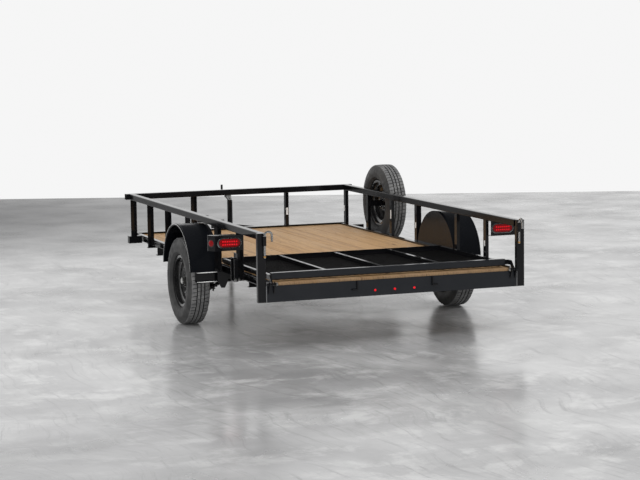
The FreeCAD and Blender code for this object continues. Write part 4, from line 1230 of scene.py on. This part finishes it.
@dataclass(frozen=True)
class WheelTrimSize:
    """Lug nuts and valve stem in metres.

    Attributes:
        count: Nuts on a wheel.
        circle: Radius of their circle.
        first_deg: Angle of the first nut.
        nut: Their size.
        valve_foot: Distance of the valve's foot from the wheel's middle, outward and up.
        valve_lean: Fall of the valve for each unit outward.
        valve_steps: Start, length, near radius and far radius of its steps.
        valve_sides: Sides of a step.
    """

    count: int = 5
    circle: float = 0.05715
    first_deg: float = 90.0
    nut: BoltSize = BoltSize(corner=0.0112, height=0.013, washer=0.0128, washer_height=0.003, shank=0.006,
                             shank_radius=0.0058)
    valve_foot: tuple[float, float] = (0.030, 0.163)
    valve_lean: float = 0.28
    valve_steps: tuple[tuple[float, float, float, float], ...] = (
        (0.0, 0.010, 0.0078, 0.0055), (0.010, 0.014, 0.0050, 0.0045), (0.024, 0.010, 0.0048, 0.0042))
    valve_sides: int = 16


class WheelTrim:
    """Lug nuts, valve stems and the ends of studs."""

    def __init__(self, shop: Workshop, size: WheelTrimSize = WheelTrimSize()) -> None:
        """Keep the workshop and the sizes."""
        self.shop = shop
        self.size = size

    def nuts(self, name: str, node: str, body: str, outward: float, seat: float) -> None:
        """Put the nuts on a wheel disc.

        Args:
            name: Piece name.
            node: The rim's node, whose middle is the wheel's centre.
            body: Body that carries the nuts.
            outward: +1 when the nuts point to +X, -1 otherwise.
            seat: Distance of the seat from the wheel's middle along outward.
        """
        s = self.size
        low, high = (Vector(corner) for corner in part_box(node))
        centre = (low + high) / 2
        hardware = Hardware(s.nut)
        bm = bmesh.new()
        for i in range(s.count):
            a = math.radians(s.first_deg + 360 * i / s.count)
            place = centre + Vector((outward * seat, s.circle * math.cos(a), s.circle * math.sin(a)))
            hardware.hex_head(bm, place, Vector((outward, 0, 0)))
        self.shop.piece(name, bm, body, Finish.STEEL, "zinc_plate", angle=30.0)

    def valve(self, name: str, node: str, body: str, outward: float) -> None:
        """Put a rubber valve stem through the wheel's well wall.

        Args:
            name: Piece name.
            node: The rim's node.
            body: Body that carries the stem.
            outward: Side of the disc that it points to.
        """
        s = self.size
        low, high = (Vector(corner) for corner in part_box(node))
        centre = (low + high) / 2
        bm = bmesh.new()
        lean = Vector((outward, 0, -s.valve_lean))
        foot = centre + Vector((outward * s.valve_foot[0], 0, s.valve_foot[1]))
        for start, length, near, far in s.valve_steps:
            disc(bm, foot, lean, start, length, (near, far), s.valve_sides)
        self.shop.piece(name, bm, body, Finish.GROMMET, "grip_rubber", angle=30.0)


def stadium(half_length: float, half_height: float, steps: int) -> list[tuple[float, float]]:
    """Outline of a bar with round ends.

    Args:
        half_length: Half the overall length.
        half_height: End radius.
        steps: Segments in each half turn.

    Returns:
        Points (x, z) in order.
    """
    reach = half_length - half_height
    points = []
    for side in (1, -1):
        for k in range(steps + 1):
            a = math.pi * k / steps - math.pi / 2
            points.append((side * (reach + half_height * math.cos(a)), side * half_height * math.sin(a)))
    return points


@dataclass(frozen=True)
class OvalLampSize:
    """Oval tail lamp in metres; each set of levels holds pairs of (inset, height over the panel).

    Attributes:
        panel: Depth of the panel behind the lamp's front.
        lean: Inset across the outline for each unit along it, for the steel ring and for the rest.
        optics: Columns, spacing along, spacing across, height and radius of the small optics.
        optic_flat: Depth of an optic as a share of its width.
        end_steps: Segments in each round end.
    """

    half_length: float = 0.095
    half_height: float = 0.038
    panel: float = 0.024
    lean: tuple[float, float] = (0.58, 0.62)
    ring: Pairs = ((0.018, -0.024), (0.018, 0.0), (0.0, 0.0), (0.0, 0.0022), (0.0010, 0.0032), (0.0026, 0.0034),
                    (0.0032, 0.0026))
    grommet: Pairs = ((0.0032, 0.0008), (0.0032, 0.0030), (0.0048, 0.0046), (0.0090, 0.0052), (0.0112, 0.0042),
                       (0.0118, 0.0020))
    lens: Pairs = ((0.0120, 0.0016), (0.0122, 0.0058), (0.0136, 0.0070), (0.0175, 0.0077), (0.0260, 0.0080))
    optics: tuple[int, float, float, float, float] = (7, 0.0178, 0.0112, 0.0076, 0.0070)
    optic_flat: float = 0.12
    end_steps: int = 20


@dataclass(frozen=True)
class RoundLampSize:
    """Round marker lamp: grommet radius, lens height, plug depth, lens finish and slot.

    Attributes:
        rim: Grommet's width as a share of its radius.
        grommet: Pairs of (share of the rim, share of the height) after the plug.
        lens: Pairs of (share of the rim, share of the height).
        sides: Sides of its circle.
    """

    radius: float
    height: float
    plug: float
    finish: Finish
    slot: str
    rim: float = 0.2
    grommet: Pairs = ((0.0, 0.3), (0.3, 0.45), (0.8, 0.42), (1.0, 0.2))
    lens: Pairs = ((1.02, 0.15), (1.05, 0.66), (1.4, 0.88), (2.0, 0.94), (2.1, 0.88), (2.7, 0.96), (3.4, 1.0))
    sides: int = 40


class LampSet:
    """Tail lamps and marker lamps: gasket, domed lens and the small optics behind it."""

    SIDE_MARKER = RoundLampSize(0.029, 0.008, 0.014, Finish.RED, "red_lens")
    FRONT_MARKER = RoundLampSize(0.020, 0.011, 0.010, Finish.AMBER, "amber_lens")
    REAR_MARKER = RoundLampSize(0.011, 0.007, 0.012, Finish.RED_DEEP, "red_lens")

    def __init__(self, shop: Workshop, size: OvalLampSize = OvalLampSize()) -> None:
        """Keep the workshop and the sizes."""
        self.shop = shop
        self.size = size

    @staticmethod
    def _stack(
        place: Matrix, outline: list[tuple[float, float]], levels: Sequence[tuple[float, float]],
        lean: float = 1.0,
    ) -> bmesh.types.BMesh:
        """Skin a stack of outlines, each inset from the first and raised.

        Args:
            place: Carries local (x, y, height) to the frame.
            outline: Closed outline about the local origin.
            levels: Pairs of (inset, height).
            lean: Inset across the outline for each unit of inset along it.

        Returns:
            The closed mesh.
        """
        half = max(x for x, _ in outline)
        high = max(z for _, z in outline)
        bm = bmesh.new()
        rings = []
        for inset, height in levels:
            across, up = (half - inset) / half, (high - inset * lean) / high
            rings.append([bm.verts.new(place @ Vector((x * across, z * up, height))) for x, z in outline])
        skin(bm, rings)
        return bm

    def oval(self, word: str, side: float, middle: float) -> None:
        """Build one oval tail lamp in place of the plain one.

        Args:
            word: Side as written in the piece names.
            side: -1 for the left lamp, +1 for the right.
            middle: Distance of its middle from the centre line in metres.
        """
        s = self.size
        low, high = (Vector(corner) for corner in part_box("tail_lamps"))
        centre = Vector((side * middle, high.y - s.panel, (low.z + high.z) / 2))
        turn = Matrix.Translation(centre) @ Matrix(((1, 0, 0, 0), (0, 0, -1, 0), (0, 1, 0, 0), (0, 0, 0, 1)))
        outline = stadium(s.half_length, s.half_height, s.end_steps)
        ring_lean, lean = s.lean
        # Painted highlight: a thin bright steel ring round the grommet.
        ring = self._stack(turn, outline, s.ring, ring_lean)
        self.shop.piece("tail_highlight_ring_" + word, ring, "trailer", Finish.STEEL, "red_lens", angle=40.0,
                        stands_for=("tail_lamps",))
        grommet = self._stack(turn, outline, s.grommet, lean)
        self.shop.piece("tail_grommet_" + word, grommet, "trailer", Finish.BEZEL, "grip_rubber", angle=40.0)
        lens = self._stack(turn, outline, s.lens, lean)
        self.shop.piece("tail_lens_" + word, lens, "trailer", Finish.RED, "red_lens", angle=50.0)
        columns, along, across, height, radius = s.optics
        optics = bmesh.new()
        for row in (-1, 1):
            for k in range(columns):
                spot = turn @ Vector(((k - columns // 2) * along, row * across, height))
                bmesh.ops.create_uvsphere(
                    optics, u_segments=14, v_segments=7, radius=radius,
                    matrix=Matrix.Translation(spot) @ Matrix.Diagonal((1, s.optic_flat, 1, 1)))
        # The optics glow as painted highlights.
        self.shop.piece("tail_optics_" + word, optics, "trailer", Finish.RED_DEEP, "red_lens", angle=60.0)

    def round_lamp(self, name: str, node: str, centre: Vector, direction: Vector, size: RoundLampSize) -> None:
        """Build one round marker lamp: plug, grommet and stepped lens.

        Args:
            name: Piece name stem.
            node: The plain lamp's node, which the pieces stand for.
            centre: Middle of the lamp on its panel.
            direction: Way it faces.
            size: Its sizes and finish.
        """
        place = orient(direction, centre)
        turns = (2 * math.pi * k / size.sides for k in range(size.sides))
        circle = [(size.radius * math.cos(a), size.radius * math.sin(a)) for a in turns]
        rim = size.radius * size.rim
        plug = [(rim, -size.plug), (rim, 0.0), (0.0, 0.0)]
        ring = self._stack(place, circle, plug + [(rim * r, size.height * h) for r, h in size.grommet])
        self.shop.piece(name + "_grommet", ring, "trailer", Finish.BEZEL, "grip_rubber", angle=40.0,
                        stands_for=(node,))
        lens = self._stack(place, circle, [(rim * r, size.height * h) for r, h in size.lens])
        self.shop.piece(name + "_lens", lens, "trailer", size.finish, size.slot, angle=50.0)


@dataclass(frozen=True)
class JointLines:
    """Where the beads run, in bed millimetres.

    Attributes:
        posts: Corner of each angle post along the side, with the way its long leg points.
        leg: Inner and outer face of a post's cross leg.
        web: Middle of its long leg's thickness.
        leg_run: Start and end of the long leg's bead from the corner.
        rail_under: Height of the beads below the top rail.
        side_top: X and height of the beads on the side channel.
        leg_end: X of the bead down the long leg's end, its distance from the corner, lowest and highest z.
        front_posts: Left edges of the front posts.
        front_post: Width of a front post, y of its rear and of its front face.
        front_heights: Heights of the beads round them.
        outriggers: Y of the outriggers' outer faces.
        outrigger: Inner end and height of the bead on an outrigger.
        corner: X and y of the rear post's joint with the rear channel.
        corner_z: Lowest and highest z of the bead down it.
        ledge: First y, last y and height of the bead on the channel's top.
        bright_radii: Half the widths of these two in metres.
    """

    posts: tuple[tuple[float, int], ...] = (
        (580.0, -1), (1124.0, -1), (1902.0, 1), (2500.4, -1), (3053.8, -1), (3607.2, -1))
    leg: tuple[float, float] = (1004.0, 1049.0)
    web: float = 1009.5
    leg_run: tuple[float, float] = (6.0, 44.0)
    rail_under: float = 812.4
    side_top: tuple[float, float] = (1003.6, 508.6)
    leg_end: tuple[float, float, float, float] = (1004.4, 45.4, 459.0, 506.0)
    front_posts: tuple[float, float] = (-472.0, 427.0)
    front_post: tuple[float, float, float] = (45.0, 3647.0, 3653.0)
    front_heights: tuple[float, float] = (512.6, 812.6)
    outriggers: tuple[float, float] = (1103.0, 1922.0)
    outrigger: tuple[float, float] = (966.0, 456.6)
    corner: tuple[float, float] = (1011.0, -0.5)
    corner_z: tuple[float, float] = (357.0, 476.0)
    ledge: tuple[float, float, float] = (1.0, 36.0, 477.5)
    bright_radii: tuple[float, float] = (0.0036, 0.0034)


class WeldSet:
    """Weld beads at the frame's visible joints."""

    def __init__(self, shop: Workshop, lines: JointLines = JointLines()) -> None:
        """Keep the workshop and the lines of the beads."""
        self.shop = shop
        self.lines = lines

    @staticmethod
    def _around(bm: bmesh.types.BMesh, x0: float, x1: float, y0: float, y1: float, z: float) -> None:
        """Lay beads round a rectangle at one height, in bed millimetres.

        Args:
            bm: Mesh to add to.
            x0: First x.
            x1: Last x.
            y0: First y.
            y1: Last y.
            z: Height.
        """
        corners = [bed(x0, y0, z), bed(x1, y0, z), bed(x1, y1, z), bed(x0, y1, z)]
        for a, b in zip(corners, corners[1:] + corners[:1]):
            Hardware.weld(bm, a, b)

    def build(self) -> None:
        """Weld the angle posts to rails and channels, and the rear channel to its posts."""
        j = self.lines
        near, far = j.leg_run
        top_x, top_z = j.side_top
        end_x, end_reach, end_low, end_high = j.leg_end
        bm = bmesh.new()
        for side in (-1, 1):
            inner, outer, web = side * j.leg[0], side * j.leg[1], side * j.web
            for y, way in j.posts:
                Hardware.weld(bm, bed(inner, y - 1, j.rail_under), bed(outer, y - 1, j.rail_under))
                Hardware.weld(bm, bed(web, y + way * near, j.rail_under), bed(web, y + way * far, j.rail_under))
                Hardware.weld(bm, bed(side * top_x, y, top_z), bed(side * top_x, y + way * far, top_z))
                edge = y + way * end_reach
                Hardware.weld(bm, bed(side * end_x, edge, end_low), bed(side * end_x, edge, end_high))
        wide, rear, front = j.front_post
        for x in j.front_posts:
            for z in j.front_heights:
                self._around(bm, x, x + wide, rear, front, z)
        inner_end, under = j.outrigger
        for side in (-1, 1):
            for y in j.outriggers:
                Hardware.weld(bm, bed(side * j.leg[0], y, under), bed(side * inner_end, y, under))
        self.shop.piece("frame_welds", bm, "trailer", Finish.FRAME, "frame_paint", angle=60.0)
        bright = bmesh.new()
        corner_x, corner_y = j.corner
        low, high = j.corner_z
        start, end, ledge_z = j.ledge
        upright, flat = j.bright_radii
        for side in (-1, 1):
            x = side * corner_x
            Hardware.weld(bright, bed(x, corner_y, low), bed(x, corner_y, high), radius=upright)
            Hardware.weld(bright, bed(x, start, ledge_z), bed(x, end, ledge_z), radius=flat)
        self.shop.piece("rear_corner_welds", bright, "trailer", Finish.WELD, "zinc_plate", angle=60.0)


@dataclass(frozen=True)
class TrimSize:
    """Small trim in bed millimetres.

    Attributes:
        plates: Y of the middle, lowest and highest z of each blank plate on the right posts.
        plate: Width and thickness of a plate.
        rounding: Radius of its corners in metres.
        post_x: Inner face of the posts.
        front_plate: First x, last x, y, lowest and highest z of the plate on a front post.
        pin: X and y of a latch pin.
        tip: Lowest z, highest z and radius of its brass tip.
        tip_ends: Heights of the tip's lower and upper cone.
        tip_shares: Radius at the lower and at the upper end as a share of the whole.
        tip_sides: Sides of the tip.
    """

    plates: tuple[tuple[float, float, float], ...] = (
        (3595.0, 618.0, 671.0), (2470.0, 648.0, 725.0), (1922.0, 618.0, 666.0), (557.0, 606.0, 650.0))
    plate: tuple[float, float] = (20.0, 0.9)
    rounding: float = 0.004
    post_x: float = 1004.0
    front_plate: tuple[float, float, float, float, float] = (446.0, 466.0, 3648.0, 605.0, 669.0)
    pin: tuple[float, float] = (1024.0, -14.0)
    tip: tuple[float, float, float] = (683.0, 702.0, 8.2)
    tip_ends: tuple[float, float] = (5.0, 3.0)
    tip_shares: tuple[float, float] = (0.7, 0.86)
    tip_sides: int = 24


class SmallTrim:
    """Blank white plates on the posts and brass tips on the latch pins."""

    def __init__(self, shop: Workshop, size: TrimSize = TrimSize()) -> None:
        """Keep the workshop and the sizes."""
        self.shop = shop
        self.size = size

    def _plate(self, bm: bmesh.types.BMesh, low: Vector, high: Vector) -> None:
        """Add one thin plate with rounded corners.

        Args:
            bm: Mesh to add to.
            low: Its lowest corner.
            high: Its highest corner.
        """
        made = bmesh.ops.create_cube(bm, size=1.0, matrix=Matrix.Translation((low + high) / 2)
                                     @ Matrix.Diagonal((*(high - low), 1.0)))
        edges = {e for v in made["verts"] for e in v.link_edges}
        thin = min(range(3), key=lambda k: high[k] - low[k])
        corners = [e for e in edges if abs(e.verts[0].co[thin] - e.verts[1].co[thin]) > NEAR]
        bmesh.ops.bevel(bm, geom=corners, offset=self.size.rounding, offset_type="OFFSET", segments=3,
                        profile=0.5, affect="EDGES", material=-1)

    def plates(self) -> None:
        """Stick the blank plates to the inner faces of the right posts and to a front post."""
        s = self.size
        width, thick = s.plate
        bm = bmesh.new()
        for y, z0, z1 in s.plates:
            self._plate(bm, bed(s.post_x - thick, y - width / 2, z0), bed(s.post_x, y + width / 2, z1))
        x0, x1, y, z0, z1 = s.front_plate
        self._plate(bm, bed(x0, y - thick, z0), bed(x1, y, z1))
        self.shop.piece("blank_plates", bm, "trailer", Finish.PLATE, "zinc_plate", smooth=False)

    def tips(self) -> None:
        """Cap the lower ends of the latch pins with brass."""
        s = self.size
        x, y = s.pin
        z0, z1, radius = s.tip
        lower, upper = z0 + s.tip_ends[0], z1 - s.tip_ends[1]
        foot, head = (radius * share for share in s.tip_shares)
        steps = ((z0, lower, foot, radius), (lower, upper, radius, radius), (upper, z1, radius, head))
        bm = bmesh.new()
        for side in (-1.0, 1.0):
            for low, high, r0, r1 in steps:
                bmesh.ops.create_cone(bm, cap_ends=True, segments=s.tip_sides, radius1=r0 * MM, radius2=r1 * MM,
                                      depth=(high - low) * MM,
                                      matrix=Matrix.Translation(bed(side * x, y, (low + high) / 2)))
        self.shop.piece("pin_tips", bm, "trailer", Finish.BRASS, "zinc_plate", angle=40.0)


@dataclass(frozen=True)
class EdgeSize:
    """Painted highlight lines, in bed millimetres.

    Attributes:
        axle_y: Y of the fender's middle.
        centre_z: Height of its middle.
        ring: Radius to the rolled edge's own middle.
        bead_x: X of that middle.
        bead: Reach of the bright line from it.
        lean_deg: Side of the rolled edge that shines.
        half_sweep_deg: Half of the arc.
        steps: Segments in half of the arc.
        lip_x: Stations of the outrigger's lips.
        lip_y: Their y.
        lip_z: Heights of the lower and the upper lip.
        arc_radius: Half the width of the arc's line in metres.
        lip_radius: Half the width of a lip in metres.
    """

    axle_y: float = 1513.0
    centre_z: float = 423.0
    ring: float = 372.6
    bead_x: float = 1237.5
    bead: float = 8.4
    lean_deg: float = 25.0
    half_sweep_deg: float = 84.5
    steps: int = 30
    lip_x: tuple[float, ...] = (1037.0, 1090.0, 1145.0, 1202.0)
    lip_y: float = 1101.5
    lip_z: tuple[float, float] = (380.5, 453.5)
    arc_radius: float = 0.0026
    lip_radius: float = 0.0034


class PaintedHighlights:
    """Painted highlights: bright lines on the fender rims and outrigger flanges."""

    def __init__(self, shop: Workshop, size: EdgeSize = EdgeSize()) -> None:
        """Keep the workshop and the sizes."""
        self.shop = shop
        self.size = size

    @staticmethod
    def _line(bm: bmesh.types.BMesh, points: Sequence[Vector], radius: float) -> None:
        """Run a thin bead along points, thinner at its ends.

        Args:
            bm: Mesh to add to.
            points: Points to follow.
            radius: Half the bead's width in metres.
        """
        last = len(points) - 1
        rings = []
        for i, point in enumerate(points):
            ahead = points[min(i + 1, last)] - points[max(i - 1, 0)]
            size = radius * (0.4 if i in (0, last) else 1.0)
            rings.append(bead_ring(bm, point, orient(ahead, Vector()).to_3x3(), size))
        skin(bm, rings)

    def build(self) -> None:
        """Lay the painted highlight lines on both sides."""
        s = self.size
        lean = math.radians(s.lean_deg)
        x = s.bead_x + s.bead * math.cos(lean)
        ring = s.ring + s.bead * math.sin(lean)
        angles = [math.radians(s.half_sweep_deg) * (i / s.steps - 1) for i in range(2 * s.steps + 1)]
        bm, lips = bmesh.new(), bmesh.new()
        for side in (-1.0, 1.0):
            turns = ((math.sin(a), math.cos(a)) for a in angles)
            arc = [bed(side * x, s.axle_y + ring * ahead, s.centre_z + ring * up) for ahead, up in turns]
            self._line(bm, arc, s.arc_radius)
            for z in s.lip_z:
                self._line(lips, [bed(side * step, s.lip_y, z) for step in s.lip_x], s.lip_radius)
        self.shop.piece("painted_edge_highlights", bm, "trailer", Finish.STEEL, "frame_paint", angle=60.0)
        self.shop.piece("outrigger_painted_highlights", lips, "trailer", Finish.PLATE, "frame_paint", angle=60.0)


@dataclass(frozen=True)
class CameraView:
    """Camera fitted to the photograph, in metres, with how far the floor runs ahead of it."""

    place: tuple[float, float, float] = (-5.56651434, -13.27701123 + BED_ORIGIN_Y, 2.40546915)
    forward: tuple[float, float, float] = (0.34872646, 0.930392, -0.11296278)
    up: tuple[float, float, float] = (0.05177146, 0.1012221, 0.99351588)
    lens: float = 109.549
    sensor: float = 36.0
    floor_end: float = 26.62
    floor_start: float = -16.0
    floor_half: float = 30.0
    clip_end: float = 200.0


@dataclass(frozen=True)
class Lamp:
    """One soft square lamp: its place, its target, side length, watts, and whether gloss mirrors it."""

    name: str
    place: tuple[float, float, float]
    target: tuple[float, float, float]
    size: float
    watts: float
    gloss: bool = False


@dataclass(frozen=True)
class Room:
    """Strengths of the surroundings.

    Attributes:
        wall: White wall behind the trailer.
        soft: Light on dull surfaces.
        back: What gloss mirrors elsewhere.
        wall_y: Y of a direction at which the wall starts and at which it is full.
        wall_z: Z of a direction at which the wall starts to end and at which it has ended.
    """

    wall: float = 0.92
    soft: float = 0.62
    back: float = 0.12
    wall_y: tuple[float, float] = (0.1, 0.5)
    wall_z: tuple[float, float] = (0.28, 0.48)


class Studio:
    """Floor, world, lamps and camera."""

    LAMPS = (
        Lamp("overhead", (3.0, -2.5, 10.0), (0.8, -2.5, 0.0), 16.0, 1120.0),
        Lamp("left_key", (-7.0, -4.0, 4.2), (0.0, -0.5, 0.5), 2.2, 160.0),
        Lamp("rear_fill", (-3.0, -16.5, 2.2), (0.0, -2.4, 0.5), 5.0, 1050.0),
    )

    def __init__(self, palette: Palette, view: CameraView = CameraView(), room: Room = Room()) -> None:
        """Keep what the studio is made of.

        Args:
            palette: Source of the floor's material.
            view: The camera and the floor ahead of it.
            room: The lights.
        """
        self.palette = palette
        self.view = view
        self.room = room

    def floor(self) -> None:
        """Lay the pale floor; its far edge lies square to the view."""
        view = self.view
        ahead = Vector((view.forward[0], view.forward[1], 0)).normalized()
        across = Vector((ahead.y, -ahead.x, 0))
        foot = Vector((view.place[0], view.place[1], 0))
        reach = ((view.floor_start, -1), (view.floor_start, 1), (view.floor_end, 1), (view.floor_end, -1))
        bm = bmesh.new()
        corners = (foot + ahead * run + across * (side * view.floor_half) for run, side in reach)
        bm.faces.new([bm.verts.new(corner) for corner in corners])
        mesh = bpy.data.meshes.new("studio_floor")
        bm.to_mesh(mesh)
        bm.free()
        mesh.materials.append(self.palette.get(Finish.FLOOR))
        obj = bpy.data.objects.new("studio_floor", mesh)
        bpy.context.scene.collection.objects.link(obj)

    def world(self) -> None:
        """White behind the trailer for camera and gloss, dimmer round the back, soft for diffuse light."""
        room = self.room
        world = bpy.data.worlds.new("studio_world")
        bpy.context.scene.world = world
        g = Graph(world, "ShaderNodeOutputWorld")
        path = g.add("ShaderNodeLightPath")
        split = g.add("ShaderNodeSeparateXYZ")
        g.link(g.add("ShaderNodeTexCoord").outputs["Generated"], split.inputs["Vector"])
        wall, soft, back = (g.add("ShaderNodeBackground", Color=(1, 1, 1, 1), Strength=strength)
                            for strength in (room.wall, room.soft, room.back))
        ahead = g.remap(split.outputs["Y"], *room.wall_y, 0.0, 1.0, smooth=True)
        below = g.remap(split.outputs["Z"], *room.wall_z, 1.0, 0.0, smooth=True)
        gloss = g.blend(g.combine("MULTIPLY", ahead, below), back, wall)
        other = g.blend(path.outputs["Is Glossy Ray"], soft, gloss)
        seen = g.combine("MAXIMUM", path.outputs["Is Camera Ray"], path.outputs["Is Transmission Ray"])
        g.close(g.blend(seen, other, wall))

    def lamp(self, lamp: Lamp) -> None:
        """Hang one lamp.

        Args:
            lamp: Its name, place and power.
        """
        data = bpy.data.lights.new(lamp.name, "AREA")
        data.shape = "SQUARE"
        data.size = lamp.size
        data.energy = lamp.watts
        place = Vector(lamp.place)
        obj = bpy.data.objects.new(lamp.name, data)
        obj.matrix_world = orient(place - Vector(lamp.target), place)
        obj.visible_glossy = lamp.gloss
        bpy.context.scene.collection.objects.link(obj)

    def camera(self) -> None:
        """Stand the camera where the photograph was taken."""
        view = self.view
        data = bpy.data.cameras.new("photo_camera")
        data.sensor_width = view.sensor
        data.lens = view.lens
        data.clip_end = view.clip_end
        obj = bpy.data.objects.new("photo_camera", data)
        back = -Vector(view.forward).normalized()
        right = Vector(view.up).cross(back).normalized()
        turn = Matrix((right, back.cross(right), back)).transposed().to_4x4()
        obj.matrix_world = Matrix.Translation(Vector(view.place)) @ turn
        bpy.context.scene.collection.objects.link(obj)
        bpy.context.scene.camera = obj

    def build(self) -> None:
        """Set up the whole studio."""
        self.floor()
        self.world()
        for lamp in self.LAMPS:
            self.lamp(lamp)
        self.camera()
        scene = bpy.context.scene
        scene.view_settings.view_transform = "Standard"


@dataclass(frozen=True)
class FittingPlaces:
    """Where lamps and bolts sit, in bed millimetres.

    Attributes:
        tail_lamps: Side, middle of the tail lamp in metres, shift of the side marker, and word.
        side_marker: X, y and z of the side marker.
        marker_turn_deg: Its turn outwards from straight back.
        front_marker: X, y and z of the front marker.
        rear_markers: X and word of each rear marker.
        rear_marker_z: Their height.
        spring_x: Middle of a leaf spring.
        spring_reach: Distance of a spring bolt's seat from it.
        spring_pins: Y and z of the spring bolts.
        hinge_pin: X, y and z of the gate's hinge bolt.
        bracket_bolts: X and y of the small bolts at the left post bracket.
        bracket_z: Their height.
    """

    tail_lamps: tuple[tuple[float, float, float, str], ...] = (
        (-1.0, 1.115, 0.0, "left"), (1.0, 1.148, 33.0, "right"))
    side_marker: tuple[float, float, float] = (1247.5, 562.3, 744.0)
    marker_turn_deg: float = 60.0
    front_marker: tuple[float, float, float] = (1082.5, 3459.0, 475.0)
    rear_markers: tuple[tuple[float, str], ...] = ((-158.0, "left"), (0.0, "middle"), (158.0, "right"))
    rear_marker_z: float = 397.0
    spring_x: float = 985.0
    spring_reach: float = 37.6
    spring_pins: Pairs = ((1190.0, 374.3), (1830.0, 374.3), (1190.0, 426.3))
    hinge_pin: tuple[float, float, float] = (943.3, -20.0, 491.0)
    bracket_bolts: Pairs = ((-1070.0, 535.0), (-1032.0, 575.0))
    bracket_z: float = 459.0


class Trailer:
    """Dresses every node and adds the detail that the frame leaves out."""

    LARGE_BOLT = BoltSize(corner=0.0125, height=0.010, washer=0.0150)
    SMALL_BOLT = BoltSize(corner=0.0085, height=0.006, washer=0.0105, washer_height=0.0018)
    TYRES = (("tyre_left", "wheel_left"), ("tyre_right", "wheel_right"), ("spare_tyre", "trailer"))
    NUTS = (
        ("nuts_left", "rim_left", "wheel_left", -1.0, 0.0052),
        ("nuts_right", "rim_right", "wheel_right", 1.0, 0.0052),
        ("nuts_spare_outer", "spare_rim", "trailer", 1.0, 0.0052),
        ("nuts_spare_inner", "spare_rim", "trailer", -1.0, 0.0122),
    )
    VALVES = (
        ("valve_left", "rim_left", "wheel_left", -1.0),
        ("valve_right", "rim_right", "wheel_right", 1.0),
        ("valve_spare", "spare_rim", "trailer", 1.0),
    )
    SLOT_FINISH: dict[str, Finish] = {
        "deck_timber": Finish.TIMBER,
        "tyre_rubber": Finish.RUBBER,
        "wheel_paint": Finish.WHEEL,
        "zinc_plate": Finish.ZINC,
        "grip_rubber": Finish.GRIP,
        "red_lens": Finish.RED,
        "amber_lens": Finish.AMBER,
        "frame_paint": Finish.FRAME,
    }
    NODE_FINISH: dict[str, Finish] = {
        "fenders": Finish.FENDER,
        "top_rail_left": Finish.RAIL,
        "top_rail_right": Finish.RAIL,
        "rear_channel": Finish.REAR,
        "gate_rear_bar": Finish.REAR,
        "axle_clamps": Finish.DULL,
        "hub_left": Finish.DULL,
        "hub_right": Finish.DULL,
        "jack_head": Finish.STEEL,
        "latch_pins": Finish.STEEL,
    }

    def __init__(self, palette: Palette, places: FittingPlaces = FittingPlaces()) -> None:
        """Keep the places and open a workshop.

        Args:
            palette: Source of the materials.
            places: Where lamps and bolts sit.
        """
        self.palette = palette
        self.places = places
        self.shop = Workshop(palette)

    def paint_nodes(self) -> None:
        """Give each node of the frame its own finish, or that of its slot."""
        slots = {entry["node"]: entry["material_slot"] for entry in frame["record"]["subparts"]}
        for name, obj in frame["nodes"].items():
            finish = self.NODE_FINISH.get(name, self.SLOT_FINISH[slots[name]])
            obj.data.materials.clear()
            obj.data.materials.append(self.palette.get(finish))
            LOG.info("node %s: %s", name, finish.value)

    def wheels(self) -> None:
        """Ribbed tyres, nuts and valves on both road wheels and the spare."""
        tyre = RoadTyre(self.shop)
        for name, body in self.TYRES:
            tyre.build(name + "_ribbed", name, body)
        trim = WheelTrim(self.shop)
        for nuts in self.NUTS:
            trim.nuts(*nuts)
        for valve in self.VALVES:
            trim.valve(*valve)

    def lamps(self) -> None:
        """Tail lamps, side markers, front markers and rear markers."""
        p = self.places
        lamps = LampSet(self.shop)
        slant = math.radians(p.marker_turn_deg)
        for side, middle, shift, word in p.tail_lamps:
            lamps.oval(word, side, middle)
            x, y, z = p.side_marker
            lamps.round_lamp("side_marker_" + word, "side_marker_lamps", bed(side * (x + shift), y, z),
                             Vector((side * math.sin(slant), -math.cos(slant), 0)), lamps.SIDE_MARKER)
            x, y, z = p.front_marker
            lamps.round_lamp("front_marker_" + word, "front_marker_lamps", bed(side * x, y, z),
                             Vector((0, 1, 0)), lamps.FRONT_MARKER)
        for x, word in p.rear_markers:
            lamps.round_lamp("rear_marker_" + word, "rear_marker_lamps", bed(x, 0, p.rear_marker_z),
                             Vector((0, -1, 0)), lamps.REAR_MARKER)

    def bolts(self) -> None:
        """Bolt heads and nuts at the springs, hinges and brackets."""
        p = self.places
        bm = bmesh.new()
        large, small = Hardware(self.LARGE_BOLT), Hardware(self.SMALL_BOLT)
        for side in (-1.0, 1.0):
            for way in (-1.0, 1.0):
                seat = side * (p.spring_x + way * p.spring_reach)
                for y, z in p.spring_pins:
                    large.hex_head(bm, bed(seat, y, z), Vector((side * way, 0, 0)))
            x, y, z = p.hinge_pin
            large.hex_head(bm, bed(side * x, y, z), Vector((-side, 0, 0)))
        for x, y in p.bracket_bolts:
            small.hex_head(bm, bed(x, y, p.bracket_z), Vector((0, -1, 0)))
        self.shop.piece("chassis_bolts", bm, "trailer", Finish.ZINC, "zinc_plate", angle=30.0)

    def build(self) -> None:
        """Dress the whole trailer."""
        self.paint_nodes()
        self.wheels()
        DeckBoards(self.shop).build()
        ExpandedMetal(self.shop).build()
        self.lamps()
        WeldSet(self.shop).build()
        self.bolts()
        trim = SmallTrim(self.shop)
        trim.plates()
        trim.tips()
        PaintedHighlights(self.shop).build()


def main() -> None:
    """Build the scene."""
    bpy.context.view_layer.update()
    palette = Palette()
    Studio(palette).build()
    Trailer(palette).build()
    bpy.context.view_layer.update()


if __name__ == "__main__":
    main()
